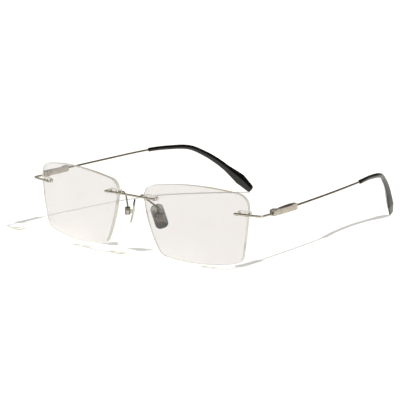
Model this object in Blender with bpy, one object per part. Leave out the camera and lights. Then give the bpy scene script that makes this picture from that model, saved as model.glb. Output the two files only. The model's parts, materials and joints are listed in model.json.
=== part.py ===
"""Rimless wire eyeglasses: two clear lenses on bent titanium wire, with folding temples and nose pads.

X runs to the wearer's left, Y runs back along the temples and Z is up. Every left-hand shape is
modelled once, in metres, and mirrored for the right. The glasses stand open on the lens bottoms and
the temple tips, with the origin on the floor under the middle of their box.
"""

import math

import bmesh
import bpy
from mathutils import Matrix, Vector
from mathutils.geometry import interpolate_bezier, intersect_sphere_sphere_2d

# Lenses: the box around one lens, its place and its outline
LENS_WIDTH = 0.0559
LENS_HEIGHT = 0.0355
LENS_THICKNESS = 0.0020
LENS_CURVE_RADIUS = 0.200
LENS_WRAP = math.radians(6.5)
LENS_LEAN = math.radians(1.9)
BRIDGE_GAP = 0.0170
TOP_BOW = 0.0030
TEMPORAL_BOW = 0.0006
BOTTOM_BOW = 0.0022
NASAL_BOW = 0.0021
NASAL_TOP_OVERHANG = 0.0004
NASAL_TOP_DROP = 0.0037
NASAL_TOP_ROUND = 0.0055
TEMPORAL_TOP_OVERHANG = 0.0004
TEMPORAL_TOP_DROP = 0.0025
TEMPORAL_TOP_ROUND = 0.0060
TEMPORAL_BOTTOM_INSET = 0.0038
TEMPORAL_BOTTOM_RISE = 0.0032
TEMPORAL_BOTTOM_ROUND = 0.0045
NASAL_BOTTOM_INSET = 0.0092
NASAL_BOTTOM_RISE = 0.0015
NASAL_BOTTOM_ROUND = 0.0054

# Wire that lies on the lens front, and the pins and plastic bushings that hold the lens to it
FRAME_WIRE_RADIUS = 0.00050
CLOSE_GAP = 0.00005
BRIDGE_MOUNT_UP = 0.00905
ENDPIECE_MOUNT_UP = 0.0075
BRIDGE_OVERLAP = 0.0070
ENDPIECE_OVERLAP = 0.0061
PIN_FROM_END = 0.0011
NOTCH_INSET = 0.0004
PIN_RADIUS = 0.00040
PIN_STAND_OUT = 0.00015
BUSHING_WALL = 0.00035
BUSHING_PLATE_THICKNESS = 0.0006
BUSHING_PLATE_MARGIN = 0.0004
BRIDGE_RISE = 0.00025
BRIDGE_FORWARD = 0.0006

# Nose pads, their arms, boxes and screws
PAD_ARM_RADIUS = 0.00038
PAD_ARM_SPREAD = 0.0060
PAD_ARM_LOOP_BACK = 0.0018
PAD_ARM_LOOP_RISE = 0.0005
PAD_SCREW_SPREAD = 0.0104
PAD_SCREW_BACK = 0.0078
PAD_SCREW_HEIGHT = 0.0165
PAD_SPLAY = math.radians(40)
PAD_BOX_WIDTH = 0.0028
PAD_BOX_BACK = 0.0013
PAD_BOX_MOUTH = 0.0011
PAD_BOX_TOP = 0.0019
PAD_BOX_BOTTOM = 0.0014
PAD_BOX_WALL = 0.0005
EAR_THICKNESS = 0.0009
EAR_RADIUS = 0.00078
PAD_SCREW_RADIUS = 0.00038
PAD_SCREW_HEAD_RADIUS = 0.00085
PAD_SCREW_HEAD_THICKNESS = 0.0004
NOSE_PAD_LENGTH = 0.0114
NOSE_PAD_WIDTH = 0.0061
NOSE_PAD_THICKNESS = 0.0008
NOSE_PAD_ROUND = 0.0024
NOSE_PAD_DISH_RADIUS = 0.025
NOSE_PAD_REACH = 0.0028
NOSE_PAD_BELOW = 0.0001
NOSE_PAD_TILT = math.radians(11)
NOSE_PAD_LEAN = math.radians(16)

# Hinge: the upright screw is its axis, and the knuckles are stacked front block, temple, front block
HINGE_OUTSET = 0.00585
HINGE_BACK = 0.0156
HINGE_HEIGHT = 0.0026
KNUCKLE_RADIUS = 0.00125
KNUCKLE_GAP = 0.00004
HINGE_OUTER_FACE = 0.0020
HINGE_INNER_FACE = 0.0006
FRONT_BLOCK_AHEAD = 0.0025
FRONT_BLOCK_BEHIND = 0.0017
BLOCK_SHOULDER = 0.0011
SEAM_GAP = 0.00005
TEMPLE_PLATE_END = 0.0143
TEMPLE_PLATE_TAPER = 0.0003
PLATE_RIDGE = 0.0007
# Shares of the plate's length, of its taper, and of its ridge at the inner and the outer edge
PLATE_STATIONS = (
    (0, 0, 0, 0),
    (0.22, 0.1, 0.5, 0),
    (0.45, 0.3, 0.75, 0),
    (0.62, 0.5, 0.95, 0.1),
    (0.78, 0.6, 1, 0.75),
    (0.92, 0.8, 1, 0.85),
    (1, 1.4, 0.6, 0.4),
)
SCREW_RADIUS = 0.0006
SCREW_HEAD_RADIUS = 0.00088
SCREW_HEAD_THICKNESS = 0.0004
SCREW_CLEARANCE = 0.00003
ENDPIECE_WIRE_OUT = 0.0006
ENDPIECE_WIRE_DROP = 0.00060
ENDPIECE_CORNER_RADIUS = 0.0020
ENDPIECE_SWEEP = 0.0007
SOCKET_DEPTH = 0.0009
RECESS_DEPTH = 0.0007
RECESS_MARGIN = 0.0003

# Temple wire and tip, measured from the hinge axis
TEMPLE_WIRE_RADIUS = 0.00045
TEMPLE_WIRE_OUT = 0.0009
TEMPLE_WIRE_RISE = 0.00065
TEMPLE_SOCKET_DEPTH = 0.0030
TEMPLE_TO_SLEEVE = 0.0671
TEMPLE_TO_BEND = 0.0915
SLEEVE_INSET = 0.0033
SLEEVE_RISE = 0.0025
BEND_INSET = 0.0093
BEND_RISE = 0.0010
TIP_DROP_LENGTH = 0.0432
TIP_TURN_IN = math.radians(26.6)
TIP_CROWN = 0.0025
TIP_END_LIFT = 0.0014
# Shares of the drop's length and of its crown
CROWN_STATIONS = ((0.22, 0.8), (0.42, 1.0), (0.63, 0.8), (0.82, 0.5))
TIP_BORE_CLEARANCE = 0.00008
CORE_SHORT_OF_END = 0.0160
SLEEVE_RADIUS = 0.00100
SHANK_RADIUS = 0.00118
NECK_HALF_HEIGHT = 0.0017
NECK_HALF_THICKNESS = 0.0016
PADDLE_HALF_HEIGHT = 0.0029
PADDLE_HALF_THICKNESS = 0.0019
TIP_END_HALF_HEIGHT = 0.0019
TIP_END_HALF_THICKNESS = 0.0011
TIP_EDGE_SHARE = 0.25
SHANK_FACET = 0.2
NECK_TO_END = 0.0190
PADDLE_TO_END = 0.0088

# Mesh fineness
ROUND_SIDES = 16
WIRE_SIDES = 12
SIDE_STEPS = 8
CORNER_STEPS = 5
DISH_RINGS = (0.4, 0.7, 1.0)
WIRE_STEP = 0.004
TIGHT_STEP = 0.0007
OVERRUN = 0.001

SIDES = (("left", 1), ("right", -1))
X_AXIS = Vector((1, 0, 0))
Y_AXIS = Vector((0, 1, 0))
Z_AXIS = Vector((0, 0, 1))


# Materials


def finish(name, colour, metallic, roughness, alpha=1.0):
    """A Principled material."""
    material = bpy.data.materials.new(name)
    material.use_nodes = True
    shader = material.node_tree.nodes["Principled BSDF"]
    shader.inputs["Base Color"].default_value = (*colour, 1.0)
    shader.inputs["Metallic"].default_value = metallic
    shader.inputs["Roughness"].default_value = roughness
    shader.inputs["Alpha"].default_value = alpha
    return material


# Shapes: each is a bmesh of the left-hand piece, closed and in place


def sealed(shape):
    """The shape with all its faces pointing out."""
    bmesh.ops.recalc_face_normals(shape, faces=shape.faces[:])
    return shape


def loft(rings):
    """A closed shape through rings of equally many points, with a face across the first and the last."""
    shape = bmesh.new()
    loops = [[shape.verts.new(point) for point in ring] for ring in rings]
    for near, far in zip(loops, loops[1:]):
        for i in range(len(near)):
            shape.faces.new((near[i - 1], near[i], far[i], far[i - 1]))
    shape.faces.new(loops[0])
    shape.faces.new(loops[-1])
    return sealed(shape)


def joined(*shapes):
    """One bmesh that holds several separate closed shapes."""
    result = shapes[0]
    for shape in shapes[1:]:
        mesh = bpy.data.meshes.new("joining")
        shape.to_mesh(mesh)
        shape.free()
        result.from_mesh(mesh)
        bpy.data.meshes.remove(mesh)
    return result


def frames(path, side):
    """Each point of a path with the two directions across it, turned as little as possible on the way."""
    found = []
    for i, point in enumerate(path):
        tangent = (path[min(i + 1, len(path) - 1)] - path[max(i - 1, 0)]).normalized()
        side = (side - tangent * side.dot(tangent)).normalized()
        found.append((point, side, tangent.cross(side)))
    return found


def circle(radius, sides):
    """Points round a circle, as pairs."""
    turns = [2 * math.pi * i / sides for i in range(sides)]
    return [(radius * math.cos(turn), radius * math.sin(turn)) for turn in turns]


def wire(path, radius, sides=WIRE_SIDES, side=X_AXIS):
    """A round wire along a path, with flat ends."""
    section = circle(radius, sides)
    rings = []
    for point, across, up in frames(path, side):
        rings.append([point + across * a + up * b for a, b in section])
    return loft(rings)


def rod(start, end, radius, sides=ROUND_SIDES):
    """A straight round rod between two points."""
    along = (end - start).normalized()
    side = X_AXIS if abs(along.x) < abs(along.z) + abs(along.y) else Z_AXIS
    return wire([start, end], radius, sides, side)


def block(low, high, axes=None):
    """A box between two corners, given in the world's axes or in a matrix's own."""
    shape = bmesh.new()
    bmesh.ops.create_cube(shape, size=1.0)
    size = [b - a for a, b in zip(low, high)]
    middle = [(a + b) / 2 for a, b in zip(low, high)]
    place = Matrix.Translation(middle) @ Matrix.Diagonal((*size, 1.0))
    shape.transform((axes or Matrix.Identity(4)) @ place)
    return sealed(shape)


def smooth_path(points, step):
    """Points about step apart on a smooth curve through the given points."""
    last = len(points) - 1
    slopes = []
    for i in range(len(points)):
        slopes.append((points[min(i + 1, last)] - points[max(i - 1, 0)]).normalized())
    path = [points[0]]
    for i in range(last):
        near, far = points[i], points[i + 1]
        handle = (far - near).length / 3
        count = max(3, math.ceil((far - near).length / step) + 1)
        leave, reach = near + slopes[i] * handle, far - slopes[i + 1] * handle
        path += interpolate_bezier(near, leave, reach, far, count)[1:]
    return path


def mirrored(point):
    """The same point on the wearer's right."""
    return Vector((-point.x, point.y, point.z))


# Objects


def add_body(name, pivot, sign):
    """An empty on a joint's axis, which carries the pieces that move together."""
    body = bpy.data.objects.new(name, None)
    bpy.context.collection.objects.link(body)
    body.location = pivot if sign > 0 else mirrored(pivot)
    return body


def add_object(name, shape, sign, body):
    """An object of a left-hand shape, mirrored for the right, with its origin on its body's pivot."""
    if sign < 0:
        shape.transform(Matrix.Diagonal((-1, 1, 1, 1)))
        bmesh.ops.reverse_faces(shape, faces=shape.faces[:])
    shape.transform(Matrix.Translation(-body.location))
    mesh = bpy.data.meshes.new(name)
    shape.to_mesh(mesh)
    shape.free()
    result = bpy.data.objects.new(name, mesh)
    bpy.context.collection.objects.link(result)
    result.parent = body
    return result


def add_piece(name, shape, sign, body, material):
    """One visible piece, shaded smooth where it is round."""
    piece = add_object(name, shape, sign, body)
    piece.data.materials.append(material)
    piece.data.shade_smooth()
    piece.data.set_sharp_from_angle(angle=math.radians(35))
    return piece


def combine(piece, operation, shape, sign):
    """Cuts a left-hand shape from a piece, or unites the two."""
    name = f"{piece.name}_{operation.lower()}_{len(piece.modifiers)}"
    helper = add_object(name, shape, sign, piece.parent)
    helper.hide_render = True
    helper.display_type = "WIRE"
    modifier = piece.modifiers.new(helper.name, "BOOLEAN")
    modifier.operation = operation
    modifier.object = helper
    modifier.solver = "EXACT"


# Places on the left lens

LENS_ACROSS = Matrix.Rotation(LENS_WRAP, 3, "Z") @ X_AXIS
LENS_UP = Matrix.Rotation(LENS_LEAN, 3, LENS_ACROSS) @ Z_AXIS
LENS_BACK = LENS_UP.cross(LENS_ACROSS)
LENS_SPAN = LENS_WIDTH * math.cos(LENS_WRAP)
LENS_CENTRE = Vector(((BRIDGE_GAP + LENS_SPAN) / 2, 0, LENS_HEIGHT / 2))
BRIDGE_MOUNT = (BRIDGE_MOUNT_UP, -1, BRIDGE_OVERLAP)
ENDPIECE_MOUNT = (ENDPIECE_MOUNT_UP, 1, ENDPIECE_OVERLAP)
BAR_STAND_OFF = FRAME_WIRE_RADIUS + CLOSE_GAP
PIN_BORE_RADIUS = PIN_RADIUS + CLOSE_GAP
BUSHING_RADIUS = PIN_BORE_RADIUS + BUSHING_WALL
LENS_HOLE_RADIUS = BUSHING_RADIUS + CLOSE_GAP


def dish(across, up):
    """How far the curved lens lies behind the flat through its centre."""
    return (across**2 + up**2) / (2 * LENS_CURVE_RADIUS)


def lens_point(across, up, back):
    """A point by its distances across, up and back from the centre of the lens's front."""
    return LENS_CENTRE + LENS_ACROSS * across + LENS_UP * up + LENS_BACK * back


def on_lens(across, up, depth=0.0):
    """A point a given depth behind the lens's front surface."""
    return lens_point(across, up, dish(across, up) + depth)


def arc(centre, start, end, steps):
    """Points from start up to, but without, end, the short way round a centre."""
    first = start - centre
    turn = -first.angle_signed(end - centre)
    return [centre + Matrix.Rotation(turn * i / steps, 2) @ first for i in range(steps)]


def bowed_side(start, end, bow):
    """Centre and radius of the arc from start to end that stands bow out from its chord."""
    chord = end - start
    outward = Vector((-chord.y, chord.x)).normalized()
    radius = (chord.length_squared / 4 + bow**2) / (2 * bow)
    return (start + end) / 2 - outward * (radius - bow), radius


def touching(side, centre):
    """Where a round corner about centre touches a bowed side."""
    side_centre, radius = side
    return side_centre + (centre - side_centre).normalized() * radius


def lens_outline():
    """The lens's edge as points across and up: four bowed sides and four round corners."""
    width, height = LENS_WIDTH / 2, LENS_HEIGHT / 2
    corners = (
        Vector((-width - NASAL_TOP_OVERHANG, height - NASAL_TOP_DROP)),
        Vector((width + TEMPORAL_TOP_OVERHANG, height - TEMPORAL_TOP_DROP)),
        Vector((width - TEMPORAL_BOTTOM_INSET, TEMPORAL_BOTTOM_RISE - height)),
        Vector((NASAL_BOTTOM_INSET - width, NASAL_BOTTOM_RISE - height)),
    )
    rounds = (NASAL_TOP_ROUND, TEMPORAL_TOP_ROUND, TEMPORAL_BOTTOM_ROUND, NASAL_BOTTOM_ROUND)
    bows = (TOP_BOW, TEMPORAL_BOW, BOTTOM_BOW, NASAL_BOW)
    sides = [bowed_side(corners[i], corners[(i + 1) % 4], bows[i]) for i in range(4)]
    centres = []
    for i in range(4):
        (before, before_radius), (after, after_radius) = sides[i - 1], sides[i]
        reaches = before_radius - rounds[i], after_radius - rounds[i]
        choices = intersect_sphere_sphere_2d(before, reaches[0], after, reaches[1])
        centres.append(min(choices, key=lambda choice: (choice - corners[i]).length))
    outline = []
    for i in range(4):
        leave = touching(sides[i], centres[i])
        outline += arc(centres[i], touching(sides[i - 1], centres[i]), leave, CORNER_STEPS)
        outline += arc(sides[i][0], leave, touching(sides[i], centres[(i + 1) % 4]), SIDE_STEPS)
    return outline


LENS_OUTLINE = lens_outline()


def edge_across(up, turn):
    """How far across the lens's edge lies at a height, on the nasal side for -1 and the temporal for 1."""
    crossings = []
    for near, far in zip(LENS_OUTLINE, LENS_OUTLINE[1:] + LENS_OUTLINE[:1]):
        if (near.y - up) * (far.y - up) < 0:
            crossings.append(near.x + (far.x - near.x) * (up - near.y) / (far.y - near.y))
    return turn * max(turn * across for across in crossings)


def mount_places(mount):
    """Where a bar's two pins go through the lens: one in a hole, one in a notch of the edge."""
    up, turn, overlap = mount
    edge = edge_across(up, turn)
    return [(edge - turn * (overlap - PIN_FROM_END), up), (edge - turn * NOTCH_INSET, up)]


def bar_places(mount):
    """The part of a bar that lies on the lens front, from its free end to the lens's edge."""
    up, turn, overlap = mount
    edge = edge_across(up, turn)
    return [on_lens(edge - turn * overlap * share, up, -BAR_STAND_OFF) for share in (1, 0.5, 0)]


def plate_depth(places):
    """How far back a bushing's plate starts, just clear of the lens."""
    return max(dish(*place) for place in places) + LENS_THICKNESS + CLOSE_GAP


def pins(places):
    """The two pins that a bar sends back through the lens and its bushing."""
    end = plate_depth(places) + BUSHING_PLATE_THICKNESS + PIN_STAND_OUT
    return through_lens(places, -BAR_STAND_OFF, end, PIN_RADIUS)


def through_lens(places, start, end, radius):
    """Rods at several places, from a depth behind the curved front to a depth behind its flat."""
    rods = []
    for place in places:
        rods.append(rod(on_lens(*place, start), lens_point(*place, end), radius))
    return joined(*rods)


# Lens and bushings


def lens_shape():
    """The lens: front and back surfaces dished alike, with a flat edge."""
    rings = []
    for depth, scales in ((0, DISH_RINGS), (LENS_THICKNESS, DISH_RINGS[::-1])):
        for scale in scales:
            rings.append([on_lens(point.x * scale, point.y * scale, depth) for point in LENS_OUTLINE])
    return loft(rings)


def bushing_plate(places):
    """The plate behind the lens, a flat bar with round ends."""
    depth = plate_depth(places)
    radius = BUSHING_RADIUS + BUSHING_PLATE_MARGIN
    middle = sum(across for across, _ in places) / 2
    reach = abs(places[0][0] - places[1][0]) / 2
    outline = []
    for a, b in circle(radius, ROUND_SIDES):
        outline.append((middle + a + math.copysign(reach, a), places[0][1] + b))
    rings = []
    for back in (depth, depth + BUSHING_PLATE_THICKNESS):
        rings.append([lens_point(across, up, back) for across, up in outline])
    return loft(rings)


def add_lens_and_bushings(side, sign, body, clear, plastic):
    lens = add_piece(f"lens_{side}", lens_shape(), sign, body, clear)
    for name, mount in (("bridge", BRIDGE_MOUNT), ("endpiece", ENDPIECE_MOUNT)):
        places = mount_places(mount)
        inside = plate_depth(places) + BUSHING_PLATE_THICKNESS / 2
        outside = plate_depth(places) + BUSHING_PLATE_THICKNESS + OVERRUN
        holes = through_lens(places, -OVERRUN, outside, LENS_HOLE_RADIUS)
        combine(lens, "DIFFERENCE", holes, sign)
        plate = bushing_plate(places)
        bushing = add_piece(f"{name}_bushing_{side}", plate, sign, body, plastic)
        combine(bushing, "UNION", through_lens(places, 0, inside, BUSHING_RADIUS), sign)
        bores = through_lens(places, -OVERRUN, outside, PIN_BORE_RADIUS)
        combine(bushing, "DIFFERENCE", bores, sign)


# Bridge and endpieces


def bridge_path():
    """The bar's centre line, from the left lens over the nose to the right lens."""
    left = bar_places(BRIDGE_MOUNT)
    edge = left[-1]
    middle = Vector((0, edge.y - BRIDGE_FORWARD, edge.z + BRIDGE_RISE))
    right = [mirrored(point) for point in reversed(left)]
    return smooth_path(left + [middle] + right, WIRE_STEP / 2)


def add_bridge(body, titanium):
    bar = wire(bridge_path(), FRAME_WIRE_RADIUS, side=Z_AXIS)
    bridge = add_piece("bridge_bar", bar, 1, body, titanium)
    for _, sign in SIDES:
        combine(bridge, "UNION", pins(mount_places(BRIDGE_MOUNT)), sign)


HINGE = Vector((
    BRIDGE_GAP / 2 + LENS_SPAN + HINGE_OUTSET,
    HINGE_BACK,
    LENS_CENTRE.z + ENDPIECE_MOUNT_UP * math.cos(LENS_LEAN) + ENDPIECE_WIRE_DROP,
))


def endpiece_path():
    """The wire from the lens front, out past the lens, round the corner and into the hinge block."""
    on_front = bar_places(ENDPIECE_MOUNT)
    edge = on_front[-1]
    wire_across = HINGE.x + ENDPIECE_WIRE_OUT
    corner = edge + LENS_ACROSS * (wire_across - edge.x) / LENS_ACROSS.x
    corner += Y_AXIS * ENDPIECE_SWEEP
    outward = (corner - edge).normalized()
    turn = outward.angle(Y_AXIS)
    setback = ENDPIECE_CORNER_RADIUS * math.tan(turn / 2)
    start = corner - outward * setback
    end = corner + Y_AXIS * setback
    centre = end - X_AXIS * ENDPIECE_CORNER_RADIUS
    steps = math.ceil(ENDPIECE_CORNER_RADIUS * turn / TIGHT_STEP)
    bend = arc(centre.xy, start.xy, end.xy, steps)
    bend = [Vector((*point, corner.z)) for point in bend]
    end.z = corner.z
    socket_end = Vector((wire_across, HINGE.y - FRONT_BLOCK_AHEAD + SOCKET_DEPTH - CLOSE_GAP, corner.z))
    return on_front + bend + [end, socket_end]


def add_endpiece(side, sign, body, titanium):
    shape = wire(endpiece_path(), FRAME_WIRE_RADIUS, side=Z_AXIS)
    endpiece = add_piece(f"endpiece_{side}", shape, sign, body, titanium)
    combine(endpiece, "UNION", pins(mount_places(ENDPIECE_MOUNT)), sign)


# Nose pads: the box's own axes run along the screw, towards the nose and up

PAD_PIVOT = Vector((PAD_SCREW_SPREAD, PAD_SCREW_BACK, PAD_SCREW_HEIGHT))
NOSE = Vector((-math.cos(PAD_SPLAY), math.sin(PAD_SPLAY), 0))
PAD_AXIS = Vector((math.sin(PAD_SPLAY), math.cos(PAD_SPLAY), 0))
PAD_PLACE = Matrix.Translation(PAD_PIVOT) @ Matrix((PAD_AXIS, NOSE, Z_AXIS)).transposed().to_4x4()
SLOT_HALF_WIDTH = EAR_THICKNESS / 2 + CLOSE_GAP


def in_box(along, nose, up):
    """A point by its distances from the pad screw: along it, towards the nose, and up."""
    return PAD_PLACE @ Vector((along, nose, up))


def pad_arm_path():
    """From the back of the bridge bar, up in a small loop and down to the box."""
    bar = min(bridge_path(), key=lambda point: abs(point.x - PAD_ARM_SPREAD))
    start = Vector((PAD_ARM_SPREAD, bar.y + FRAME_WIRE_RADIUS + CLOSE_GAP, bar.z))
    end = in_box(0, 0, PAD_BOX_TOP + CLOSE_GAP)
    loop = start + Vector((0, PAD_ARM_LOOP_BACK, PAD_ARM_LOOP_RISE))
    shoulder = (3 * loop + end) / 4 + Y_AXIS * PAD_ARM_LOOP_BACK / 2
    knee = end + Z_AXIS * PAD_BOX_TOP + Vector((0, -PAD_ARM_RADIUS, 0))
    return smooth_path([start, loop, shoulder, knee, end], TIGHT_STEP)


def box_shape():
    half = PAD_BOX_WIDTH / 2
    low = (-half, -PAD_BOX_BACK, -PAD_BOX_BOTTOM)
    return block(low, (half, PAD_BOX_MOUTH, PAD_BOX_TOP), PAD_PLACE)


def ear_slot():
    """The slot in the box, open to the nose and below, with room for the ear to rock."""
    low = (-SLOT_HALF_WIDTH, PAD_BOX_WALL - PAD_BOX_BACK, -PAD_BOX_BOTTOM - OVERRUN)
    high = (SLOT_HALF_WIDTH, PAD_BOX_MOUTH + OVERRUN, PAD_BOX_TOP - PAD_BOX_WALL)
    return block(low, high, PAD_PLACE)


def pad_plate():
    """The thin pad: a rounded rectangle, dished so that its middle stands towards the nose."""
    turn = Matrix.Rotation(-NOSE_PAD_TILT, 4, "X") @ Matrix.Rotation(-NOSE_PAD_LEAN, 4, "Y")
    place = PAD_PLACE @ Matrix.Translation((0, NOSE_PAD_REACH, -NOSE_PAD_BELOW)) @ turn
    half_width, half_length = NOSE_PAD_WIDTH / 2 - NOSE_PAD_ROUND, NOSE_PAD_LENGTH / 2 - NOSE_PAD_ROUND
    outline = []
    for a, b in circle(NOSE_PAD_ROUND, 2 * ROUND_SIDES):
        if abs(a) > CLOSE_GAP and abs(b) > CLOSE_GAP:
            outline.append((a + math.copysign(half_width, a), b + math.copysign(half_length, b)))
    rings = []
    half = NOSE_PAD_THICKNESS / 2
    for depth, scales in ((-half, DISH_RINGS), (half, DISH_RINGS[::-1])):
        for scale in scales:
            ring = []
            for a, b in outline:
                sag = (a**2 + b**2) * scale**2 / (2 * NOSE_PAD_DISH_RADIUS)
                ring.append(place @ Vector((a * scale, depth - sag, b * scale)))
            rings.append(ring)
    return loft(rings)


def across_box(low, high, radius):
    """A rod along the pad screw's axis."""
    return rod(in_box(low, 0, 0), in_box(high, 0, 0), radius)


def add_nose_pad(side, sign, body, pad_body, titanium, polished, screw_steel):
    add_piece(f"pad_arm_{side}", wire(pad_arm_path(), PAD_ARM_RADIUS), sign, body, titanium)
    half = PAD_BOX_WIDTH / 2
    clearance = PAD_SCREW_RADIUS + CLOSE_GAP
    box = add_piece(f"pad_box_{side}", box_shape(), sign, body, titanium)
    combine(box, "DIFFERENCE", ear_slot(), sign)
    combine(box, "DIFFERENCE", across_box(-half - OVERRUN, half + OVERRUN, clearance), sign)

    seat = -half - CLOSE_GAP
    head = across_box(seat - PAD_SCREW_HEAD_THICKNESS, seat, PAD_SCREW_HEAD_RADIUS)
    screw = add_piece(f"pad_screw_{side}", head, sign, body, screw_steel)
    shank = across_box(seat - PAD_SCREW_HEAD_THICKNESS / 2, half, PAD_SCREW_RADIUS)
    combine(screw, "UNION", shank, sign)

    pad = add_piece(f"nose_pad_{side}", pad_plate(), sign, pad_body, polished)
    ear_half = EAR_THICKNESS / 2
    stem_low = (-ear_half, 0, -EAR_RADIUS)
    stem = block(stem_low, (ear_half, NOSE_PAD_REACH, EAR_RADIUS), PAD_PLACE)
    combine(pad, "UNION", stem, sign)
    combine(pad, "UNION", across_box(-ear_half, ear_half, EAR_RADIUS), sign)
    bore = across_box(-ear_half - OVERRUN, ear_half + OVERRUN, clearance)
    combine(pad, "DIFFERENCE", bore, sign)


# Hinge

HALF_HINGE = HINGE_HEIGHT / 2
HALF_MIDDLE = HINGE_HEIGHT / 6
SCREW_BORE_RADIUS = SCREW_RADIUS + SCREW_CLEARANCE


def hinge_block(low, high):
    """A box by its corners, measured from the hinge axis at mid-height."""
    return block(low, high, Matrix.Translation(HINGE))


def upright(low, high, radius):
    """A rod on the hinge axis between two heights."""
    return rod(HINGE + Z_AXIS * low, HINGE + Z_AXIS * high, radius, 2 * ROUND_SIDES)


def add_front_block(side, sign, body, titanium):
    """The front half of the hinge, with a socket for the wire and a slot for the temple's knuckle."""
    front = -FRONT_BLOCK_AHEAD
    slot_wall = KNUCKLE_RADIUS + CLOSE_GAP * 2
    cheek_high = (HINGE_OUTER_FACE, FRONT_BLOCK_BEHIND, HALF_HINGE)
    cheek = hinge_block((0, front, -HALF_HINGE), cheek_high)
    piece = add_piece(f"hinge_block_{side}", cheek, sign, body, titanium)
    shoulder_low = (-HINGE_INNER_FACE, front, -HALF_HINGE)
    shoulder_high = (HINGE_OUTER_FACE / 2, front + BLOCK_SHOULDER + KNUCKLE_RADIUS, HALF_HINGE)
    combine(piece, "UNION", hinge_block(shoulder_low, shoulder_high), sign)
    combine(piece, "UNION", upright(-HALF_HINGE, HALF_HINGE, KNUCKLE_RADIUS), sign)
    slot_low = (-2 * KNUCKLE_RADIUS, -slot_wall, -HALF_MIDDLE - KNUCKLE_GAP)
    slot_high = (slot_wall, FRONT_BLOCK_BEHIND + OVERRUN, HALF_MIDDLE + KNUCKLE_GAP)
    combine(piece, "DIFFERENCE", hinge_block(slot_low, slot_high), sign)
    bore = upright(-HALF_HINGE - OVERRUN, HALF_HINGE + OVERRUN, SCREW_BORE_RADIUS)
    combine(piece, "DIFFERENCE", bore, sign)
    seat = HALF_HINGE - SCREW_HEAD_THICKNESS - CLOSE_GAP
    head_room = SCREW_HEAD_RADIUS + SCREW_CLEARANCE
    combine(piece, "DIFFERENCE", upright(seat, HALF_HINGE + OVERRUN, head_room), sign)
    socket_start = HINGE + Vector((ENDPIECE_WIRE_OUT, front - OVERRUN, -ENDPIECE_WIRE_DROP))
    socket_end = socket_start + Y_AXIS * (OVERRUN + SOCKET_DEPTH)
    socket = rod(socket_start, socket_end, FRAME_WIRE_RADIUS + CLOSE_GAP)
    combine(piece, "DIFFERENCE", socket, sign)
    recess_low = (RECESS_MARGIN - HINGE_INNER_FACE, front - OVERRUN, RECESS_MARGIN / 2)
    recess_high = (HINGE_OUTER_FACE - RECESS_MARGIN, front + RECESS_DEPTH, HALF_HINGE - RECESS_MARGIN)
    combine(piece, "DIFFERENCE", hinge_block(recess_low, recess_high), sign)


def temple_plate_shape():
    """The long plate behind the hinge, whose top rises inward and to the rear."""
    start = FRONT_BLOCK_BEHIND + SEAM_GAP
    length = TEMPLE_PLATE_END - start
    taper = TEMPLE_PLATE_TAPER
    rings = []
    for share, narrow, inner_rise, outer_rise in PLATE_STATIONS:
        inner, outer = taper * narrow, HINGE_OUTER_FACE - taper * narrow
        low = taper * narrow - HALF_HINGE
        outer_top = HALF_HINGE + PLATE_RIDGE * outer_rise
        inner_top = HALF_HINGE + PLATE_RIDGE * inner_rise
        corners = ((inner, low), (outer, low), (outer, outer_top), (inner, inner_top))
        rings.append([HINGE + Vector((across, start + length * share, up)) for across, up in corners])
    return loft(rings)


def add_temple_plate(side, sign, body, titanium):
    """The rear half of the hinge: the middle knuckle, and the plate that carries the temple wire."""
    middle = HALF_MIDDLE - KNUCKLE_GAP
    piece = add_piece(f"temple_plate_{side}", temple_plate_shape(), sign, body, titanium)
    web_low = (-KNUCKLE_RADIUS + CLOSE_GAP, 0, -middle)
    web_high = (KNUCKLE_RADIUS - CLOSE_GAP, FRONT_BLOCK_BEHIND + BLOCK_SHOULDER, middle)
    combine(piece, "UNION", hinge_block(web_low, web_high), sign)
    combine(piece, "UNION", upright(-middle, middle, KNUCKLE_RADIUS), sign)
    combine(piece, "DIFFERENCE", upright(-middle - OVERRUN, middle + OVERRUN, SCREW_BORE_RADIUS), sign)
    socket_end = temple_wire_start() + Y_AXIS * (TEMPLE_SOCKET_DEPTH + OVERRUN)
    socket = rod(temple_wire_start(), socket_end, TEMPLE_WIRE_RADIUS + CLOSE_GAP)
    combine(piece, "DIFFERENCE", socket, sign)


def add_hinge_screw(side, sign, body, screw_steel):
    """The screw: its head lies in the top knuckle, and its shank runs through all three."""
    seat = HALF_HINGE - SCREW_HEAD_THICKNESS
    head = upright(seat, HALF_HINGE, SCREW_HEAD_RADIUS)
    screw = add_piece(f"hinge_screw_{side}", head, sign, body, screw_steel)
    shank = upright(-HALF_HINGE, HALF_HINGE - SCREW_HEAD_THICKNESS / 2, SCREW_RADIUS)
    combine(screw, "UNION", shank, sign)
    slot_low = (-SCREW_HEAD_RADIUS * 2, -SCREW_HEAD_THICKNESS / 3, HALF_HINGE - SCREW_HEAD_THICKNESS / 3)
    slot_high = (SCREW_HEAD_RADIUS * 2, SCREW_HEAD_THICKNESS / 3, HALF_HINGE + OVERRUN)
    combine(screw, "DIFFERENCE", hinge_block(slot_low, slot_high), sign)


# Temples


def temple_wire_start():
    """Where the wire's end lies, inside the plate's rear end."""
    return HINGE + Vector((TEMPLE_WIRE_OUT, TEMPLE_PLATE_END - TEMPLE_SOCKET_DEPTH, TEMPLE_WIRE_RISE))


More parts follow.
